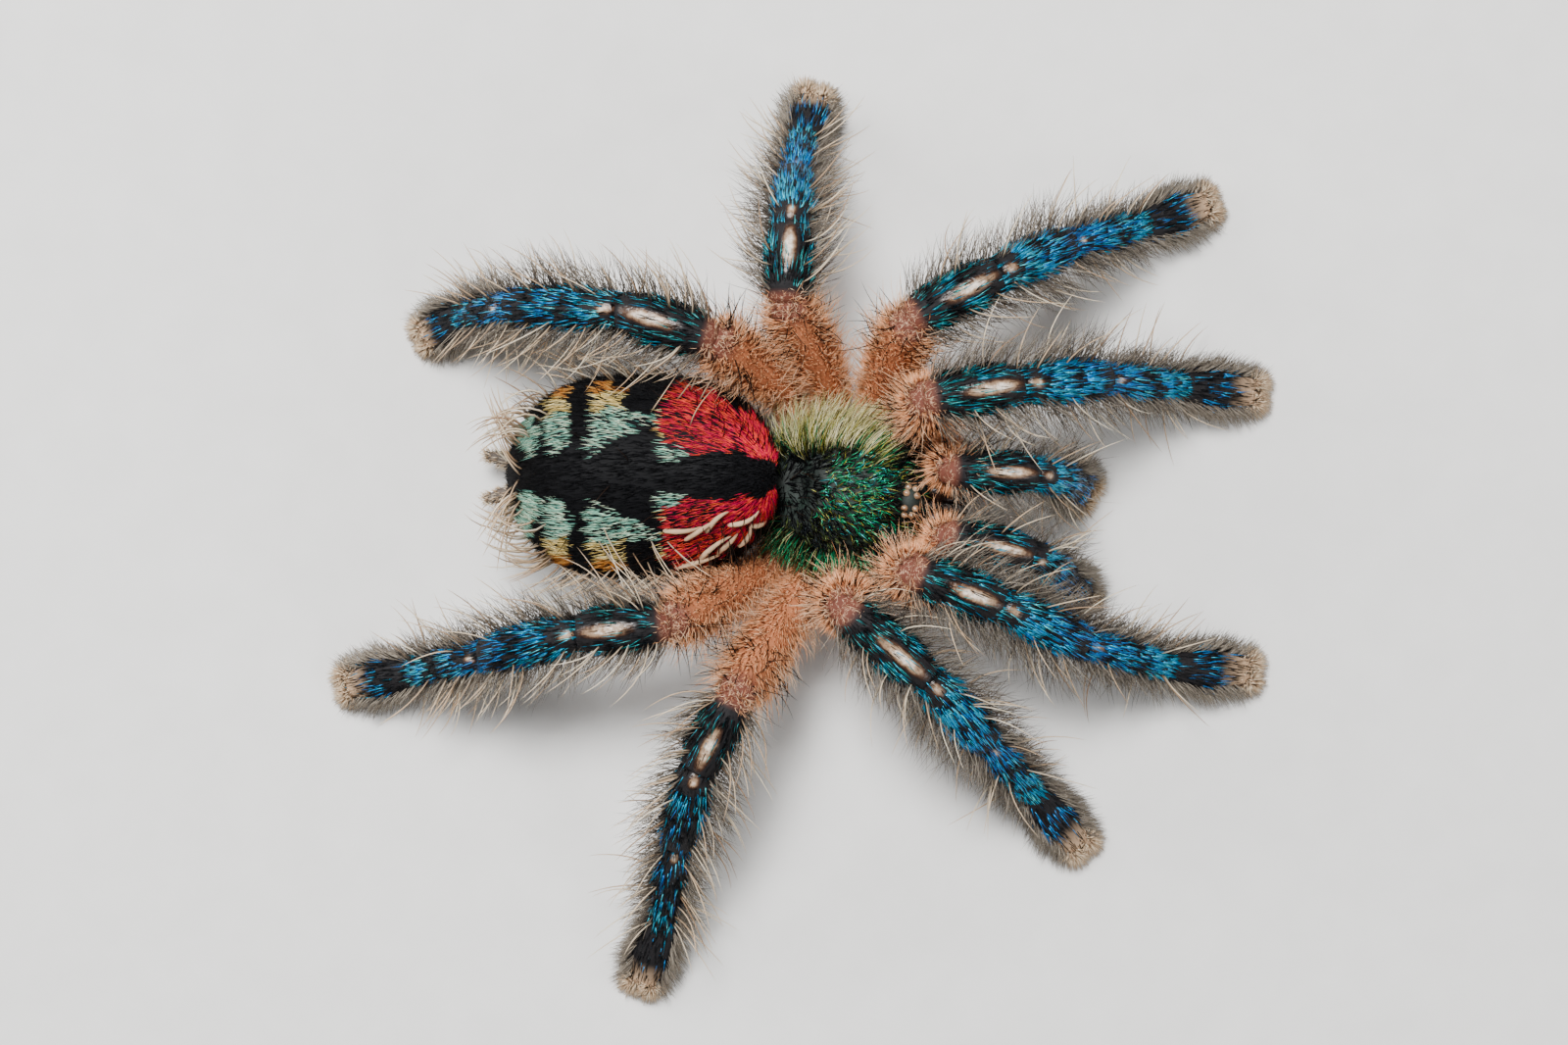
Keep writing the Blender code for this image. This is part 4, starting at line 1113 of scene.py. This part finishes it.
def limb_shell_material():
    """Shell colours from hip to toe, with a painted highlight on bare glossy tops and wrinkled skin at the
    knees.
    """
    nodes = Nodes("limb_shell")
    _, along, around = nodes.map_axes()
    count = len(LEG_KINDS)
    # skin and the hip colours are partly the shell's own brown and partly painted shade under the fur
    dark, skin, knee = (0.005, 0.004, 0.005), (0.38, 0.14, 0.06), (0.12, 0.034, 0.02)
    stops = [
        (0.0, (0.2, 0.08, 0.05)), (1.9 / count, (0.3, 0.12, 0.07)), (2.1 / count, skin), (2.8 / count, skin),
        (2.9 / count, knee), (3.08 / count, knee), (3.16 / count, dark), (3.96 / count, dark),
        (4.0 / count, (0.03, 0.015, 0.015)), (4.05 / count, dark), (6.6 / count, dark),
        (0.985, (0.4, 0.27, 0.17)),
    ]
    base = nodes.ramp(along, stops)
    # where along each segment the painted highlight lies
    highlight_windows = []
    for kind, (start, end, bright) in PAINTED_HIGHLIGHTS.items():
        index = LEG_KINDS.index(kind)
        rise, fall = (index + start) / count, (index + end) / count
        near, far = rise * 0.6 + fall * 0.4, rise * 0.35 + fall * 0.65
        highlight_windows += [(rise, 0.0), (near, bright), (far, bright), (fall, 0.0)]
    # the painted highlight runs across the top of each segment, where it reflects the light
    top = nodes.ramp(around, ((0.436, 0.0), (0.487, 1.0), (0.513, 1.0), (0.564, 0.0)))
    place = nodes.place()
    speckle = nodes.noise(place, 2600.0, 4.0, 0.7)
    # marks is the painted highlight along and across the tops; uneven breaks it up with speckles
    marks = nodes.mix(1.0, nodes.ramp(along, highlight_windows), top, "MULTIPLY")
    uneven = nodes.mix(1.0, marks, nodes.ramp(speckle, ((0.35, 0.55), (0.62, 1.0))), "MULTIPLY")
    # colours of the painted highlight: dark shell, brown, tan, and near white at its brightest
    pale = ((0.1, dark), (0.3, (0.06, 0.03, 0.018)), (0.6, (0.32, 0.21, 0.13)), (0.95, (0.8, 0.7, 0.6)))
    painted_highlight_colour = nodes.ramp(uneven, pale)
    # where the painted highlight lies, the shell is also made smooth and glossy
    bare_gloss_and_highlight = nodes.ramp(marks, ((0.06, 0.0), (0.2, 1.0)))
    colour = nodes.mix(bare_gloss_and_highlight, base, painted_highlight_colour)
    wrinkles = nodes.noise(nodes.place((1.0, 1.0, 2.5)), 3000.0, 4.0)
    at_knee = ((2.85, 0.0), (2.95, 1.0), (3.06, 1.0), (3.14, 0.0))
    knees = nodes.ramp(along, [(place_on_limb / count, level) for place_on_limb, level in at_knee])
    creases = nodes.ramp(wrinkles, ((0.48, 0.0), (0.5, 0.75), (0.52, 0.0)))
    creased = nodes.mix(nodes.mix(1.0, knees, creases, "MULTIPLY"), colour, (0.78, 0.5, 0.32))
    return nodes.finish({
        "Base Color": creased,
        "Roughness": nodes.mix(bare_gloss_and_highlight, nodes.spread(speckle, 0.65, 0.85), nodes.spread(speckle, 0.15, 0.32)),
        "Specular IOR Level": 0.3,
        "Normal": nodes.bump(wrinkles, 0.6, 0.0001),
    })


def plain_shell_material(name, colours, roughness, scale, coat):
    """A hard shell in three shades, mottled, with fine pits."""
    nodes = Nodes(name)
    place = nodes.place()
    mottling = nodes.noise(place, scale, 4.0)
    return nodes.finish({
        "Base Color": nodes.ramp(mottling, zip((0.3, 0.5, 0.72), colours)),
        "Roughness": nodes.spread(nodes.noise(place, scale * 2.5), *roughness),
        "Coat Weight": coat,
        "Coat Roughness": 0.2,
        "Normal": nodes.bump(nodes.noise(place, scale * 4.0), 0.4, 0.00006),
    })


def stage():
    """A plain pale floor, a soft light above, weaker lights from the sides, and the camera."""
    mesh = bpy.data.meshes.new("floor")
    corners = [(x * FLOOR_HALF, y * FLOOR_HALF, 0) for x, y in ((-1, -1), (1, -1), (1, 1), (-1, 1))]
    mesh.from_pydata(corners, [], [(0, 1, 2, 3)])
    floor = add_object("floor", mesh)
    nodes = Nodes("floor_paper")
    grain = nodes.noise(nodes.place(), 400.0)
    paper = nodes.ramp(grain, ((0.3, (0.76, 0.75, 0.73)), (0.7, (0.8, 0.79, 0.77))))
    mesh.materials.append(nodes.finish({"Base Color": paper, "Roughness": 0.85}))

    for name, place, size, power in LIGHTS:
        data = bpy.data.lights.new(name, "AREA")
        data.size = size
        data.energy = power
        lamp = add_object(name, data)
        lamp.location = place
        lamp.rotation_euler = (-Vector(place)).to_track_quat("-Z", "Y").to_euler()
    world = bpy.data.worlds.new("studio")
    world.use_nodes = True
    background = world.node_tree.nodes["Background"]
    background.inputs["Color"].default_value = (0.9, 0.94, 1.0, 1.0)
    background.inputs["Strength"].default_value = 0.13
    bpy.context.scene.world = world

    data = bpy.data.cameras.new("camera")
    data.lens = FOCAL_LENGTH
    data.sensor_width = 36.0
    data.clip_start = 0.01
    camera = add_object("camera", data)
    camera.location = (-OUTLINE_MIDDLE[0] * MM, -OUTLINE_MIDDLE[1] * MM, CAMERA_HEIGHT * MM)
    bpy.context.scene.camera = camera


def main():
    chance = np.random.default_rng(7)
    # painted shade along a hair, from 0.4 of its colour at the root to full colour further out
    painted_root_shade = ((0.0, 0.4), (0.4, 0.9), (0.8, 1.0), (1.0, 0.95))
    matte_hair = hair_material("matte_hair", MATTE_ROWS, painted_root_shade, (0.5, 0.75), 0.0, 0.1)
    shining_hair = hair_material("shining_hair", SHEEN_ROWS, painted_root_shade, (0.28, 0.45), 0.55, 0.25)
    limb_shell_finish = limb_shell_material()
    for name in LIMB_JOINTS:
        segments = limb_segments(name)
        limb_shell(name, segments, limb_shell_finish, "limb_hair")
        limb_fur(name, segments, [matte_hair, shining_hair], "limb_hair", chance)
    build_abdomen(matte_hair, "abdomen_hair", chance)
    shells = {name: plain_shell_material(name, *look) for name, look in PLAIN_SHELLS.items()}
    carapace_materials = [shells["carapace_shell"], shells["eye_lens"]]
    build_front_body(carapace_materials, [matte_hair, shining_hair], "carapace", chance)
    build_small_pair(
        "chelicera",
        ((CHELICERA_ROUTE, CHELICERA_RADII), (FANG_ROUTE, FANG_RADII)),
        front_body_place,
        [matte_hair, shells["jaw_shell"], shells["fang_shell"]],
        "jaw_shell",
        chance,
        "brown",
    )
    build_small_pair(
        "spinneret",
        ((SPINNERET_ROUTE, SPINNERET_RADII),),
        lambda points: from_table(ABDOMEN_REAR) + points,
        [matte_hair, shells["spinneret_skin"]],
        "spinneret_hair",
        chance,
        "beige",
    )
    stage()


main()
